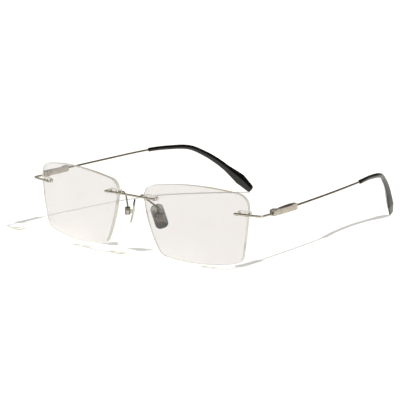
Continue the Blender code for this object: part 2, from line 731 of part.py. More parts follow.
def temple_path():
    """The temple's centre line from the plate to the end of the tip, and where the sleeve starts on it."""
    start = temple_wire_start() + Y_AXIS * CLOSE_GAP
    leave = start + Y_AXIS * TEMPLE_SOCKET_DEPTH
    sleeve = HINGE + Vector((-SLEEVE_INSET, TEMPLE_TO_SLEEVE, SLEEVE_RISE))
    bend = HINGE + Vector((-BEND_INSET, TEMPLE_TO_BEND, BEND_RISE))
    halfway = leave.lerp(sleeve, 0.5) + X_AXIS * (SLEEVE_INSET + TEMPLE_WIRE_OUT) / 8
    crest = sleeve.lerp(bend, 0.5) + Vector((0, 0, SLEEVE_RISE)) / 4
    drop_angle = math.asin((bend.z - TIP_END_LIFT) / TIP_DROP_LENGTH)
    level = math.cos(drop_angle)
    down = Vector((-math.sin(TIP_TURN_IN) * level, math.cos(TIP_TURN_IN) * level, -math.sin(drop_angle)))
    end = bend + down * TIP_DROP_LENGTH
    bulge = X_AXIS.cross(down).normalized() * TIP_CROWN
    lower = [bend + down * TIP_DROP_LENGTH * share + bulge * swell for share, swell in CROWN_STATIONS]
    before = smooth_path([start, leave, halfway, sleeve], WIRE_STEP)
    after = smooth_path([halfway, sleeve, crest, bend] + lower + [end], WIRE_STEP / 2)
    skipped = min(range(len(after)), key=lambda i: (after[i] - sleeve).length)
    return before, after[skipped:]


def travel(path):
    """The distance along a path at each of its points."""
    run = [0.0]
    for near, far in zip(path, path[1:]):
        run.append(run[-1] + (far - near).length)
    return run


def blend(stations, at):
    """Sizes between the stations of a table of distance and sizes."""
    for (near, *sizes), (far, *next_sizes) in zip(stations, stations[1:]):
        if at <= far:
            share = (at - near) / (far - near)
            return [a + (b - a) * share for a, b in zip(sizes, next_sizes)]
    return stations[-1][1:]


def tip_section(half_height, half_thickness, facet):
    """A ring of pairs: round where facet is 0, and a flat-sided diamond where it is 1."""
    slope = (1 + TIP_EDGE_SHARE) / 2
    half_ring = ((1, TIP_EDGE_SHARE), (0.5, slope), (0, 1), (-0.5, slope), (-1, TIP_EDGE_SHARE), (-1, 0))
    ring = []
    for a, b in half_ring + tuple((-a, -b) for a, b in half_ring):
        reach = math.hypot(a, b)
        scale = facet + (1 - facet) / reach
        ring.append((a * scale * half_height, b * scale * half_thickness))
    return ring


def tip_shape():
    """The moulded tip: a round sleeve with a bore for the wire, which flattens and flares to a paddle."""
    _, path = temple_path()
    run = travel(path)
    length = run[-1]
    core_end = length - CORE_SHORT_OF_END
    bend_at = TEMPLE_TO_BEND - TEMPLE_TO_SLEEVE
    stations = (
        (0, SLEEVE_RADIUS, SLEEVE_RADIUS, 0),
        (bend_at, SHANK_RADIUS, SHANK_RADIUS, SHANK_FACET),
        (length - NECK_TO_END, NECK_HALF_HEIGHT, NECK_HALF_THICKNESS, 1),
        (length - PADDLE_TO_END, PADDLE_HALF_HEIGHT, PADDLE_HALF_THICKNESS, 1),
        (length, TIP_END_HALF_HEIGHT, TIP_END_HALF_THICKNESS, 1),
    )
    outside, bore = [], []
    bore_radius = TEMPLE_WIRE_RADIUS + TIP_BORE_CLEARANCE
    for (point, across, up), at in zip(frames(path, X_AXIS), run):
        section = tip_section(*blend(stations, at))
        outside.append([point + up * a + across * b for a, b in section])
        if at <= core_end + CLOSE_GAP:
            round_bore = tip_section(bore_radius, bore_radius, 0)
            bore.append([point + up * a + across * b for a, b in round_bore])
    return loft(bore[::-1] + outside)


def core_path():
    """The wire's whole path, which ends a little before the bore in the tip does."""
    before, after = temple_path()
    run = travel(after)
    core_end = run[-1] - CORE_SHORT_OF_END - TIP_BORE_CLEARANCE
    inside = [point for point, at in zip(after, run) if at < core_end - WIRE_STEP / 2]
    return before + inside[1:]


def add_temple(side, sign, body, titanium, acetate):
    core = wire(core_path(), TEMPLE_WIRE_RADIUS)
    add_piece(f"temple_wire_{side}", core, sign, body, titanium)
    add_piece(f"temple_tip_{side}", tip_shape(), sign, body, acetate)


# The whole object


def stand_on_floor(root):
    """Moves everything so that the box of all visible pieces stands on the origin."""
    bpy.context.view_layer.update()
    graph = bpy.context.evaluated_depsgraph_get()
    corners = []
    for piece in bpy.context.view_layer.objects:
        if piece.type == "MESH" and not piece.hide_render:
            evaluated = piece.evaluated_get(graph)
            corners += [evaluated.matrix_world @ Vector(corner) for corner in evaluated.bound_box]
    low = [min(corner[i] for corner in corners) for i in range(3)]
    high = [max(corner[i] for corner in corners) for i in range(3)]
    root.location = -Vector(((low[0] + high[0]) / 2, (low[1] + high[1]) / 2, low[2]))


def build():
    for old in list(bpy.data.objects):
        bpy.data.objects.remove(old)
    clear = finish("clear_lens", (0.93, 0.92, 0.90), 0.0, 0.03, alpha=0.25)
    plastic = finish("clear_bushing", (0.90, 0.90, 0.86), 0.0, 0.15, alpha=0.5)
    titanium = finish("satin_titanium", (0.30, 0.27, 0.22), 1.0, 0.32)
    polished = finish("polished_titanium", (0.22, 0.24, 0.22), 1.0, 0.15)
    screw_steel = finish("screw_steel", (0.55, 0.54, 0.50), 1.0, 0.25)
    acetate = finish("black_acetate", (0.01, 0.01, 0.01), 0.0, 0.18)

    root = add_body("front", Vector(), 1)
    add_bridge(root, titanium)
    for side, sign in SIDES:
        add_lens_and_bushings(side, sign, root, clear, plastic)
        add_endpiece(side, sign, root, titanium)
        add_front_block(side, sign, root, titanium)
        add_hinge_screw(side, sign, root, screw_steel)
        pad_body = add_body(f"pad_{side}", PAD_PIVOT, sign)
        add_nose_pad(side, sign, root, pad_body, titanium, polished, screw_steel)
        temple_body = add_body(f"temple_{side}", HINGE, sign)
        add_temple_plate(side, sign, temple_body, titanium)
        add_temple(side, sign, temple_body, titanium, acetate)
        pad_body.parent = root
        temple_body.parent = root
    stand_on_floor(root)


build()
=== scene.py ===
import json
import math

import bpy
from mathutils import Matrix, Vector
from mathutils.geometry import interpolate_bezier, intersect_sphere_sphere_2d


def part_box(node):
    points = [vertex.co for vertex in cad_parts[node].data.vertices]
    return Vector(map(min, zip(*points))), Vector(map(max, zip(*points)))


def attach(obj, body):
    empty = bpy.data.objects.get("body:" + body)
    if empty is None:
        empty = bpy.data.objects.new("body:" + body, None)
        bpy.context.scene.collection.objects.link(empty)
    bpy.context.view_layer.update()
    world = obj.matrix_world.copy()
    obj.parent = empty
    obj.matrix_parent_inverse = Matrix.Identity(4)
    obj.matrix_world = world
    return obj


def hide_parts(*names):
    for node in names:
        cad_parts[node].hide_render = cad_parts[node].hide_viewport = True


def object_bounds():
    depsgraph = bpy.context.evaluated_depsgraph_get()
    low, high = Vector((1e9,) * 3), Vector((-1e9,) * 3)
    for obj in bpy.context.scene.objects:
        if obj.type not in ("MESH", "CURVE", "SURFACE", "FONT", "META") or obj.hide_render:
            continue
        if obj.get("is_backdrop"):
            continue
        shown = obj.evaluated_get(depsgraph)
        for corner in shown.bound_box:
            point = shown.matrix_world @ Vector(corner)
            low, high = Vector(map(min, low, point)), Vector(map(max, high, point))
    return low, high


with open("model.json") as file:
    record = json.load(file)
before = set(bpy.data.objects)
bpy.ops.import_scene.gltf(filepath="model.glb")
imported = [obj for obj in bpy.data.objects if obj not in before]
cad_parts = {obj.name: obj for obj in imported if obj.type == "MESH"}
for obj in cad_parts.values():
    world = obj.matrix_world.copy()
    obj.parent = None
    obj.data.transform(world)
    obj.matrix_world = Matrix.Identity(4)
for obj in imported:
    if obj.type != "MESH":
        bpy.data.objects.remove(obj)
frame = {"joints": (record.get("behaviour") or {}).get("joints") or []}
cad_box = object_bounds()
ORIGIN = (0, 0, 0)


# Stage
# A white light table, lit a little from below, and one lamp high on the wearer's left that throws
# thin grey shadows. The ceiling is dark, which gives the wires and tips their dark lines.

CAMERA_PLACE = Vector((0.5448, -0.6407, 0.1893))
CAMERA_AZIMUTH, CAMERA_ELEVATION, CAMERA_ROLL = 41.11, 12.08, -0.41
LAMP_AZIMUTH, LAMP_ELEVATION = 105.0, 57.0
LAMP_STRENGTH, LAMP_WIDTH = 2.45, 1.6
FLOOR_SIZE, FLOOR_DROP = 16, 0.00002


def colour(code):
    """An sRGB hex colour as linear red, green and blue, with full alpha."""
    shares = [int(code[i : i + 2], 16) / 255 for i in (1, 3, 5)]
    return (*(c / 12.92 if c <= 0.04045 else ((c + 0.055) / 1.055) ** 2.4 for c in shares), 1.0)


def add_node(tree, kind, settings=None, links=None):
    """Adds one node, sets its sockets and properties by name, and links sources into its sockets."""
    node = tree.nodes.new(kind)
    for name, value in (settings or {}).items():
        if name == "stops":
            node.color_ramp.elements[0].position, node.color_ramp.elements[0].color = value[0]
            node.color_ramp.elements[1].position, node.color_ramp.elements[1].color = value[-1]
            for position, tone in value[1:-1]:
                node.color_ramp.elements.new(position).color = tone
        elif name in node.inputs:
            node.inputs[name].default_value = value
        else:
            setattr(node, name, value)
    for name, source in (links or {}).items():
        tree.links.new(source, node.inputs[name])
    return node


def principled(name, settings):
    """A new material with the plain settings on its shader; returns it with its node tree and shader."""
    material = bpy.data.materials.new(name)
    material.use_nodes = True
    shader = material.node_tree.nodes["Principled BSDF"]
    for socket, value in settings.items():
        shader.inputs[socket].default_value = value
    return material, material.node_tree, shader


turn = Matrix.Rotation(math.radians(CAMERA_AZIMUTH), 4, "Z")
tilt = Matrix.Rotation(math.radians(90 - CAMERA_ELEVATION), 4, "X")
roll = Matrix.Rotation(math.radians(CAMERA_ROLL), 4, "Z")
bpy.ops.object.camera_add()
camera = bpy.context.object
camera.name = "camera"
camera.matrix_world = Matrix.Translation(CAMERA_PLACE) @ turn @ tilt @ roll
camera.data.lens, camera.data.sensor_width = 154.2, 36.0
camera.data.clip_start = 0.01
bpy.context.scene.camera = camera

bpy.ops.object.light_add(type="SUN")
lamp = bpy.context.object
lamp.name = "key_lamp"
lamp.rotation_euler = (math.radians(90 - LAMP_ELEVATION), 0, math.radians(LAMP_AZIMUTH))
lamp.data.energy, lamp.data.angle = LAMP_STRENGTH, math.radians(LAMP_WIDTH)
lamp.data.color = colour("#FFFDF8")[:3]

world = bpy.data.worlds.new("studio")
bpy.context.scene.world = world
world.use_nodes = True
sky = world.node_tree
direction = add_node(sky, "ShaderNodeTexCoord")
# The dark ceiling comes lower behind the wearer's left and higher before their right.
leaning = {"Rotation": (math.radians(9), math.radians(-11), 0)}
ceiling = add_node(sky, "ShaderNodeMapping", leaning, {"Vector": direction.outputs["Generated"]})
height = add_node(sky, "ShaderNodeSeparateXYZ", links={"Vector": ceiling.outputs["Vector"]})
walls = [
    (0.0, colour("#E7E6E5")), (0.25, colour("#CECDCB")), (0.42, colour("#4A4A4A")), (1.0, colour("#3A3A3A"))
]
dome = add_node(sky, "ShaderNodeValToRGB", {"stops": walls}, {"Fac": height.outputs["Z"]})
sky.links.new(dome.outputs["Color"], sky.nodes["Background"].inputs["Color"])
bpy.context.scene.view_settings.view_transform = "Standard"

# White acrylic with a matt face that glows faintly and evenly, so that shadows on it stay light.
glow = {"Emission Color": colour("#FFFEF9"), "Emission Strength": 0.46}
board, tree, shader = principled(
    "matt_white_acrylic", {"Roughness": 0.9, "Specular IOR Level": 0.0, **glow}
)
place = add_node(tree, "ShaderNodeTexCoord")
patches = add_node(tree, "ShaderNodeTexNoise", {"Scale": 3.0}, {"Vector": place.outputs["Object"]})
tone = add_node(
    tree,
    "ShaderNodeValToRGB",
    {"stops": [(0.3, colour("#F6F5F4")), (0.7, colour("#F9F8F7"))]},
    {"Fac": patches.outputs["Fac"]},
)
tree.links.new(tone.outputs["Color"], shader.inputs["Base Color"])
bpy.ops.mesh.primitive_plane_add(size=FLOOR_SIZE, location=(0, 0, -FLOOR_DROP))
floor = bpy.context.object
floor.name = "table"
bpy.ops.object.transform_apply(location=True, rotation=True, scale=True)
floor.data.materials.append(board)
floor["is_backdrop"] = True


# Lenses
# Clear hard-coated plastic, cast with curved faces, ground to a bowed rectangle and drilled.
# Nothing rims a lens, so its ground edge shows as a thin grey-green line all the way round.

LENS_WIDTH, LENS_HEIGHT, LENS_THICKNESS = 0.0559, 0.0355, 0.0020
LENS_CURVE_RADIUS = 0.200
LENS_WRAP, LENS_LEAN = math.radians(6.5), math.radians(1.9)
LENS_BOWS = (0.0030, 0.0006, 0.0022, 0.0021)
LENS_ROUNDS = (0.0055, 0.0060, 0.0045, 0.0054)
LENS_CORNERS = (
    Vector((-LENS_WIDTH / 2 - 0.0004, LENS_HEIGHT / 2 - 0.0037)),
    Vector((LENS_WIDTH / 2 + 0.0004, LENS_HEIGHT / 2 - 0.0025)),
    Vector((LENS_WIDTH / 2 - 0.0038, 0.0032 - LENS_HEIGHT / 2)),
    Vector((0.0092 - LENS_WIDTH / 2, 0.0015 - LENS_HEIGHT / 2)),
)
LENS_RINGS = (0.97, 0.93, 0.90, 0.87, 0.83, 0.78, 0.70, 0.50)
RIM_CHAMFER = 0.00014
HINGE_OUTSET, HINGE_BACK, HINGE_WIRE_DROP = 0.00585, 0.0156, 0.0006
BRIDGE_MOUNT = (0.00905, -1, 0.0070)
ENDPIECE_MOUNT = (0.0075, 1, 0.0061)
PIN_FROM_END, NOTCH_INSET = 0.0011, 0.0004
PIN_RADIUS, PIN_BORE, BUSHING_RADIUS, LENS_HOLE, BUSHING_GAP = 0.00040, 0.00045, 0.00080, 0.00085, 0.00005
# How far a cutting tool runs past what it cuts, how near two points count as one, and how near they
# are merged
PAST, ALIKE, MERGED = 0.001, 0.00001, 0.000001

HINGE = sum(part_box("hinge_screw_left"), Vector()) / 2
ACROSS = Matrix.Rotation(LENS_WRAP, 3, "Z") @ Vector((1, 0, 0))
UP = Matrix.Rotation(LENS_LEAN, 3, ACROSS) @ Vector((0, 0, 1))
BACK = UP.cross(ACROSS)
half_span = LENS_WIDTH * math.cos(LENS_WRAP) / 2
mount_rise = ENDPIECE_MOUNT[0] * math.cos(LENS_LEAN) + HINGE_WIRE_DROP
LENS_CENTRE = HINGE - Vector((half_span + HINGE_OUTSET, HINGE_BACK, mount_rise))


def on_lens(across, up, depth=0.0):
    """A point a given depth behind the lens's curved front."""
    sag = (across**2 + up**2) / (2 * LENS_CURVE_RADIUS)
    return LENS_CENTRE + ACROSS * across + UP * up + BACK * (sag + depth)


def arc(centre, start, end, steps):
    """Points from start up to, but without, end, the short way round a centre."""
    first = start - centre
    swing = -first.angle_signed(end - centre)
    return [centre + Matrix.Rotation(swing * i / steps, 2) @ first for i in range(steps)]


def lens_outline():
    """The lens's edge as points across and up: four bowed sides and four round corners."""
    sides = []
    for i, bow in enumerate(LENS_BOWS):
        chord = LENS_CORNERS[(i + 1) % 4] - LENS_CORNERS[i]
        radius = (chord.length_squared / 4 + bow**2) / (2 * bow)
        outward = Vector((-chord.y, chord.x)).normalized()
        sides.append(((LENS_CORNERS[i] + LENS_CORNERS[(i + 1) % 4]) / 2 - outward * (radius - bow), radius))
    centres = []
    for i, rounding in enumerate(LENS_ROUNDS):
        (before, before_radius), (after, after_radius) = sides[i - 1], sides[i]
        choices = intersect_sphere_sphere_2d(
            before, before_radius - rounding, after, after_radius - rounding
        )
        centres.append(min(choices, key=lambda choice: (choice - LENS_CORNERS[i]).length))
    outline = []
    for i, (middle, radius) in enumerate(sides):
        before, before_radius = sides[i - 1]
        arrive = before + (centres[i] - before).normalized() * before_radius
        leave = middle + (centres[i] - middle).normalized() * radius
        outline += arc(centres[i], arrive, leave, 14)
        after = centres[(i + 1) % 4]
        outline += arc(middle, leave, middle + (after - middle).normalized() * radius, 24)
    return outline


OUTLINE = lens_outline()


def edge_across(up, side):
    """How far across the lens's edge lies at a height, on the nasal side for -1 and the temporal for 1."""
    crossings = []
    for near, far in zip(OUTLINE, OUTLINE[1:] + OUTLINE[:1]):
        if (near.y - up) * (far.y - up) < 0:
            crossings.append(near.x + (far.x - near.x) * (up - near.y) / (far.y - near.y))
    return side * max(side * across for across in crossings)


def pin_places(mount):
    """Where a bar's two pins go through the lens: one in a hole, one in a notch of the edge."""
    up, side, overlap = mount
    edge = edge_across(up, side)
    return [(edge - side * (overlap - PIN_FROM_END), up), (edge - side * NOTCH_INSET, up)]


def plate_depth(mount):
    """How far back the bushing behind a bar starts, just clear of the lens."""
    sags = [(across**2 + up**2) / (2 * LENS_CURVE_RADIUS) for across, up in pin_places(mount)]
    return max(sags) + LENS_THICKNESS + BUSHING_GAP


def flat_depth(across, up, depth):
    """A point a given depth behind the flat through the lens's centre."""
    return LENS_CENTRE + ACROSS * across + UP * up + BACK * depth


def deselect():
    bpy.ops.object.select_all(action="DESELECT")


def make_active(piece):
    deselect()
    piece.select_set(True)
    bpy.context.view_layer.objects.active = piece


def pick(piece, wanted, kind="FACE"):
    """Goes into edit mode with only those faces, edges or vertices selected for which the test holds."""
    bpy.ops.object.mode_set(mode="OBJECT")
    make_active(piece)
    bpy.ops.object.mode_set(mode="EDIT")
    bpy.ops.mesh.select_mode(type=kind)
    bpy.ops.mesh.select_all(action="DESELECT")
    bpy.ops.object.mode_set(mode="OBJECT")
    mesh = piece.data
    for part in {"FACE": mesh.polygons, "EDGE": mesh.edges, "VERT": mesh.vertices}[kind]:
        part.select = wanted(part)
    bpy.ops.object.mode_set(mode="EDIT")


def rod(start, end, radius, sides=32):
    """A round rod between two points."""
    deselect()
    along = end - start
    facing = along.to_track_quat("Z", "Y").to_euler()
    middle = (start + end) / 2
    bpy.ops.mesh.primitive_cylinder_add(
        vertices=sides, radius=radius, depth=along.length, location=middle, rotation=facing
    )
    bpy.ops.object.transform_apply(location=True, rotation=True, scale=True)
    return bpy.context.object


def combine(piece, operation, tool):
    """Unites a piece with a tool, or cuts the tool out of it; the tool goes."""
    make_active(piece)
    modifier = piece.modifiers.new(operation, "BOOLEAN")
    modifier.operation, modifier.object, modifier.solver = operation, tool, "EXACT"
    bpy.ops.object.modifier_apply(modifier=modifier.name)
    bpy.data.objects.remove(tool)


def soften(piece, width, angle=30, segments=2):
    """Rounds every edge sharper than an angle by a real width, then shades the piece smooth."""
    make_active(piece)
    modifier = piece.modifiers.new("soften", "BEVEL")
    modifier.width, modifier.segments = width, segments
    modifier.limit_method, modifier.angle_limit = "ANGLE", math.radians(angle)
    modifier.use_clamp_overlap = True
    bpy.ops.object.modifier_apply(modifier=modifier.name)
    bpy.ops.object.shade_smooth_by_angle(angle=math.radians(angle))


def fit(piece, node, body):
    """Squeezes a piece into its CAD node's box where it stands out, and hands it to the frame."""
    low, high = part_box(node)
    corners = [Vector(corner) for corner in piece.bound_box]
    for axis in range(3):
        near, far = min(c[axis] for c in corners), max(c[axis] for c in corners)
        if near < low[axis] or far > high[axis]:
            start, end = max(near, low[axis]), min(far, high[axis])
            for vertex in piece.data.vertices:
                vertex.co[axis] = start + (vertex.co[axis] - near) * (end - start) / (far - near)
    piece.name = piece.data.name = f"fine_{node}"
    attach(piece, body)
    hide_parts(node)


def mirrored(piece):
    """A copy of a left-hand piece for the wearer's right, with its own mesh."""
    copy = piece.copy()
    copy.data = piece.data.copy()
    bpy.context.collection.objects.link(copy)
    make_active(copy)
    bpy.ops.object.mode_set(mode="EDIT")
    bpy.ops.mesh.select_all(action="SELECT")
    bpy.ops.mesh.remove_doubles(threshold=MERGED)
    bpy.ops.transform.resize(value=(-1, 1, 1), center_override=ORIGIN)
    bpy.ops.mesh.normals_make_consistent(inside=False)
    bpy.ops.object.mode_set(mode="OBJECT")
    return copy


def fit_pair(piece, node, body):
    """Fits a left-hand piece and its mirrored copy; body may end in _ for a body on each side."""
    other = mirrored(piece)
    for shape, side in ((piece, "left"), (other, "right")):
        fit(shape, f"{node}_{side}", body + side if body.endswith("_") else body)


def let_lamps_through(tree, shader, tint):
    """Gives a clear material a light tinted shadow in place of the dark one that refraction casts."""
    path = add_node(tree, "ShaderNodeLightPath")
    pane = add_node(tree, "ShaderNodeBsdfTransparent", {"Color": tint})
    mix = add_node(tree, "ShaderNodeMixShader", links={0: path.outputs["Is Shadow Ray"]})
    tree.links.new(shader.outputs["BSDF"], mix.inputs[1])
    tree.links.new(pane.outputs["BSDF"], mix.inputs[2])
    tree.links.new(mix.outputs["Shader"], tree.nodes["Material Output"].inputs["Surface"])


# Hard-coated lens plastic: quite clear, with finger smears that only its gloss shows.
clear, tree, shader = principled("hard_coated_lens_plastic", {"IOR": 1.50, "Transmission Weight": 1.0})
place = add_node(tree, "ShaderNodeTexCoord")
smears = add_node(
    tree,
    "ShaderNodeTexNoise",
    {"Scale": 90.0, "Detail": 4.0, "Distortion": 1.5},
    {"Vector": place.outputs["Object"]},
)
haze = add_node(
    tree,
    "ShaderNodeMapRange",
    {"From Min": 0.45, "From Max": 0.75, "To Min": 0.0, "To Max": 0.03},
    {"Value": smears.outputs["Fac"]},
)
tone = add_node(
    tree,
    "ShaderNodeValToRGB",
    {"stops": [(0.3, colour("#DCD9DA")), (0.7, colour("#DEDCDD"))]},
    {"Fac": smears.outputs["Fac"]},
)
tree.links.new(haze.outputs["Result"], shader.inputs["Roughness"])
tree.links.new(tone.outputs["Color"], shader.inputs["Base Color"])
let_lamps_through(tree, shader, colour("#FBFAF6"))

# The same plastic where it is ground and buffed: it gathers light from the whole lens and turns
# grey-green.
ground, tree, shader = principled("ground_lens_edge", {"IOR": 1.50, "Transmission Weight": 0.32})
place = add_node(tree, "ShaderNodeTexCoord")
# The warm stretches are about 15 mm long, and the grinding marks a fraction of a millimetre.
warmth = add_node(
    tree, "ShaderNodeTexNoise", {"Scale": 65.0, "Detail": 1.0}, {"Vector": place.outputs["Object"]}
)
grinding = add_node(
    tree, "ShaderNodeTexNoise", {"Scale": 2500.0, "Detail": 2.0}, {"Vector": place.outputs["Object"]}
)
edge_tones = [(0.35, colour("#E9EBE2")), (0.58, colour("#F1F1E6")), (0.72, colour("#E8D7A6"))]
tone = add_node(tree, "ShaderNodeValToRGB", {"stops": edge_tones}, {"Fac": warmth.outputs["Fac"]})
haze = add_node(
    tree, "ShaderNodeMapRange", {"To Min": 0.22, "To Max": 0.38}, {"Value": grinding.outputs["Fac"]}
)
tree.links.new(tone.outputs["Color"], shader.inputs["Base Color"])
tree.links.new(haze.outputs["Result"], shader.inputs["Roughness"])
let_lamps_through(tree, shader, colour("#D8D3B6"))

deselect()
bpy.ops.mesh.primitive_circle_add(vertices=len(OUTLINE), radius=LENS_HEIGHT / 2)
lens = bpy.context.object
for vertex, point in zip(lens.data.vertices, OUTLINE):
    vertex.co = (*point, 0)
bpy.ops.object.mode_set(mode="EDIT")
bpy.ops.mesh.select_all(action="SELECT")
for shrink in LENS_RINGS:
    bpy.ops.mesh.extrude_edges_move()
    bpy.ops.transform.resize(value=(shrink, shrink, 1), center_override=ORIGIN)
bpy.ops.mesh.extrude_edges_move()
bpy.ops.mesh.merge(type="CENTER")
bpy.ops.object.mode_set(mode="OBJECT")
for vertex in lens.data.vertices:
    vertex.co = on_lens(vertex.co.x, vertex.co.y)
bpy.ops.object.mode_set(mode="EDIT")
bpy.ops.mesh.select_all(action="SELECT")
bpy.ops.mesh.extrude_region_move(TRANSFORM_OT_translate={"value": BACK * LENS_THICKNESS})
bpy.ops.mesh.select_all(action="SELECT")
bpy.ops.mesh.normals_make_consistent(inside=False)
bpy.ops.object.mode_set(mode="OBJECT")
for mount in (BRIDGE_MOUNT, ENDPIECE_MOUNT):
    for across, up in pin_places(mount):
        front, back = on_lens(across, up, -PAST), on_lens(across, up, LENS_THICKNESS + PAST)
        combine(lens, "DIFFERENCE", rod(front, back, LENS_HOLE))
soften(lens, RIM_CHAMFER, angle=50)
# The chamfers are shaded crisp, so that they leave the shine of the wide faces alone.
bpy.ops.object.shade_smooth_by_angle(angle=math.radians(20))
lens.data.materials.append(clear)
lens.data.materials.append(ground)
# The wide faces and the chamfers are clear, and only the flat of the edge is ground.
for face in lens.data.polygons:
    face.material_index = int(abs(face.normal.dot(BACK)) < 0.5)
fit_pair(lens, "lens", "front")


# Bushings
# Clear moulded plastic plates with two tubes. Each lies behind a lens, and its tubes line the
# hole and the notch, so that the pins of the wire grip plastic.

BUSHING_THICKNESS, BUSHING_MARGIN, BUSHING_ROUNDING = 0.0006, 0.0004, 0.00008

# Clear polycarbonate: water-white, slightly dull from the mould.
polycarbonate, tree, shader = principled("moulded_polycarbonate", {"IOR": 1.35, "Transmission Weight": 1.0})
place = add_node(tree, "ShaderNodeTexCoord")
flow = add_node(tree, "ShaderNodeTexNoise", {"Scale": 900.0}, {"Vector": place.outputs["Object"]})
dull = add_node(tree, "ShaderNodeMapRange", {"To Min": 0.0, "To Max": 0.05}, {"Value": flow.outputs["Fac"]})
tone = add_node(
    tree,
    "ShaderNodeValToRGB",
    {"stops": [(0.3, colour("#EFEEE9")), (0.7, colour("#F6F5F1"))]},
    {"Fac": flow.outputs["Fac"]},
)
tree.links.new(dull.outputs["Result"], shader.inputs["Roughness"])
tree.links.new(tone.outputs["Color"], shader.inputs["Base Color"])
let_lamps_through(tree, shader, colour("#D5D3C8"))

for name, mount in (("bridge_bushing", BRIDGE_MOUNT), ("endpiece_bushing", ENDPIECE_MOUNT)):
    places = pin_places(mount)
    depth = plate_depth(mount)
    middle = Vector(places[0]).lerp(Vector(places[1]), 0.5)
    centre = flat_depth(*middle, depth)
    plate = rod(centre, flat_depth(*middle, depth + BUSHING_THICKNESS), BUSHING_RADIUS + BUSHING_MARGIN)
    reach = abs(places[0][0] - places[1][0]) / 2
    for side in (1, -1):
        pick(plate, lambda vertex: side * (vertex.co - centre).dot(ACROSS) > ALIKE, "VERT")
        bpy.ops.transform.translate(value=ACROSS * reach * side)
        bpy.ops.object.mode_set(mode="OBJECT")
    for across, up in places:
        seated = flat_depth(across, up, depth + BUSHING_THICKNESS / 2)
        combine(plate, "UNION", rod(on_lens(across, up), seated, BUSHING_RADIUS))
    for across, up in places:
        behind = flat_depth(across, up, depth + 2 * PAST)
        combine(plate, "DIFFERENCE", rod(on_lens(across, up, -PAST), behind, PIN_BORE))
    soften(plate, BUSHING_ROUNDING, angle=40)
    plate.data.materials.append(polycarbonate)
    fit_pair(plate, name, "front")


# Bridge bar and endpieces
# Drawn titanium wire, 1 mm thick and plated warm grey. It lies on the lens fronts, and two pins
# welded to each end run back through the lens. The bridge bar dips forward a little over the nose.

FRAME_WIRE, CLOSE_GAP, PIN_PROUD = 0.00050, 0.00005, 0.00015
# Shares of a radius by which the ends of a wire and of a pin are rounded
WIRE_ROUNDING, PIN_ROUNDING = 0.45, 0.3
BRIDGE_RISE, BRIDGE_FORWARD = 0.00025, 0.0006
CORNER_RADIUS, CORNER_SWEEP, WIRE_OUT = 0.0020, 0.0007, 0.0006
BLOCK_AHEAD, SOCKET_DEPTH = 0.0025, 0.0009


def wire(points, radius, fineness):
    """A round wire on a smooth curve through points, with its ends rounded over."""
    deselect()
    bpy.ops.curve.primitive_bezier_curve_add()
    curve = bpy.context.object.data
    knots = curve.splines[0].bezier_points
    knots.add(len(points) - 2)
    last = len(points) - 1
    for i, knot in enumerate(knots):
        near, far = points[max(i - 1, 0)], points[min(i + 1, last)]
        slope = (far - near).normalized()
        knot.handle_left_type = knot.handle_right_type = "FREE"
        knot.co = points[i]
        knot.handle_left = points[i] - slope * (points[i] - near).length / 3
        knot.handle_right = points[i] + slope * (far - points[i]).length / 3
    curve.dimensions, curve.twist_mode = "3D", "MINIMUM"
    curve.resolution_u, curve.bevel_resolution = fineness, 5
    curve.bevel_depth, curve.use_fill_caps = radius, True
    bpy.ops.object.convert(target="MESH")
    piece = bpy.context.object
    bpy.ops.object.mode_set(mode="EDIT")
    bpy.ops.mesh.select_all(action="SELECT")
    bpy.ops.mesh.remove_doubles(threshold=MERGED)
    bpy.ops.mesh.normals_make_consistent(inside=False)
    pick(piece, lambda face: len(face.vertices) > 4)
    bpy.ops.mesh.region_to_loop()
    bpy.ops.mesh.bevel(offset=radius * WIRE_ROUNDING, segments=3, affect="EDGES")
    bpy.ops.object.mode_set(mode="OBJECT")
    bpy.ops.object.shade_smooth_by_angle(angle=math.radians(40))
    return piece


def lying_on_lens(mount):
    """Points of a bar's centre line on the lens front, from its free end to the lens's edge."""
    up, side, overlap = mount
    edge = edge_across(up, side)
    return [on_lens(edge - side * overlap * share, up, -FRAME_WIRE - CLOSE_GAP) for share in (1, 0.5, 0)]


def add_pins(bar, mount, mirror=False):
    """Joins a bar with its two pins, which end just behind the bushing."""
    end = plate_depth(mount) + BUSHING_THICKNESS + PIN_PROUD
    pins = []
    for across, up in pin_places(mount):
        pin = rod(on_lens(across, up, -FRAME_WIRE), flat_depth(across, up, end), PIN_RADIUS, 24)
        soften(pin, PIN_RADIUS * PIN_ROUNDING, angle=50)
        pins += [pin, mirrored(pin)] if mirror else [pin]
    deselect()
    for part in pins + [bar]:
        part.select_set(True)
    bpy.context.view_layer.objects.active = bar
    bpy.ops.object.join()


# Satin titanium, plated warm grey: drawn through a die, so fine lines run on it and soften its shine.
titanium, tree, shader = principled("plated_titanium", {"Metallic": 1.0})
place = add_node(tree, "ShaderNodeTexCoord")
cloud = add_node(
    tree, "ShaderNodeTexNoise", {"Scale": 350.0, "Detail": 3.0}, {"Vector": place.outputs["Object"]}
)
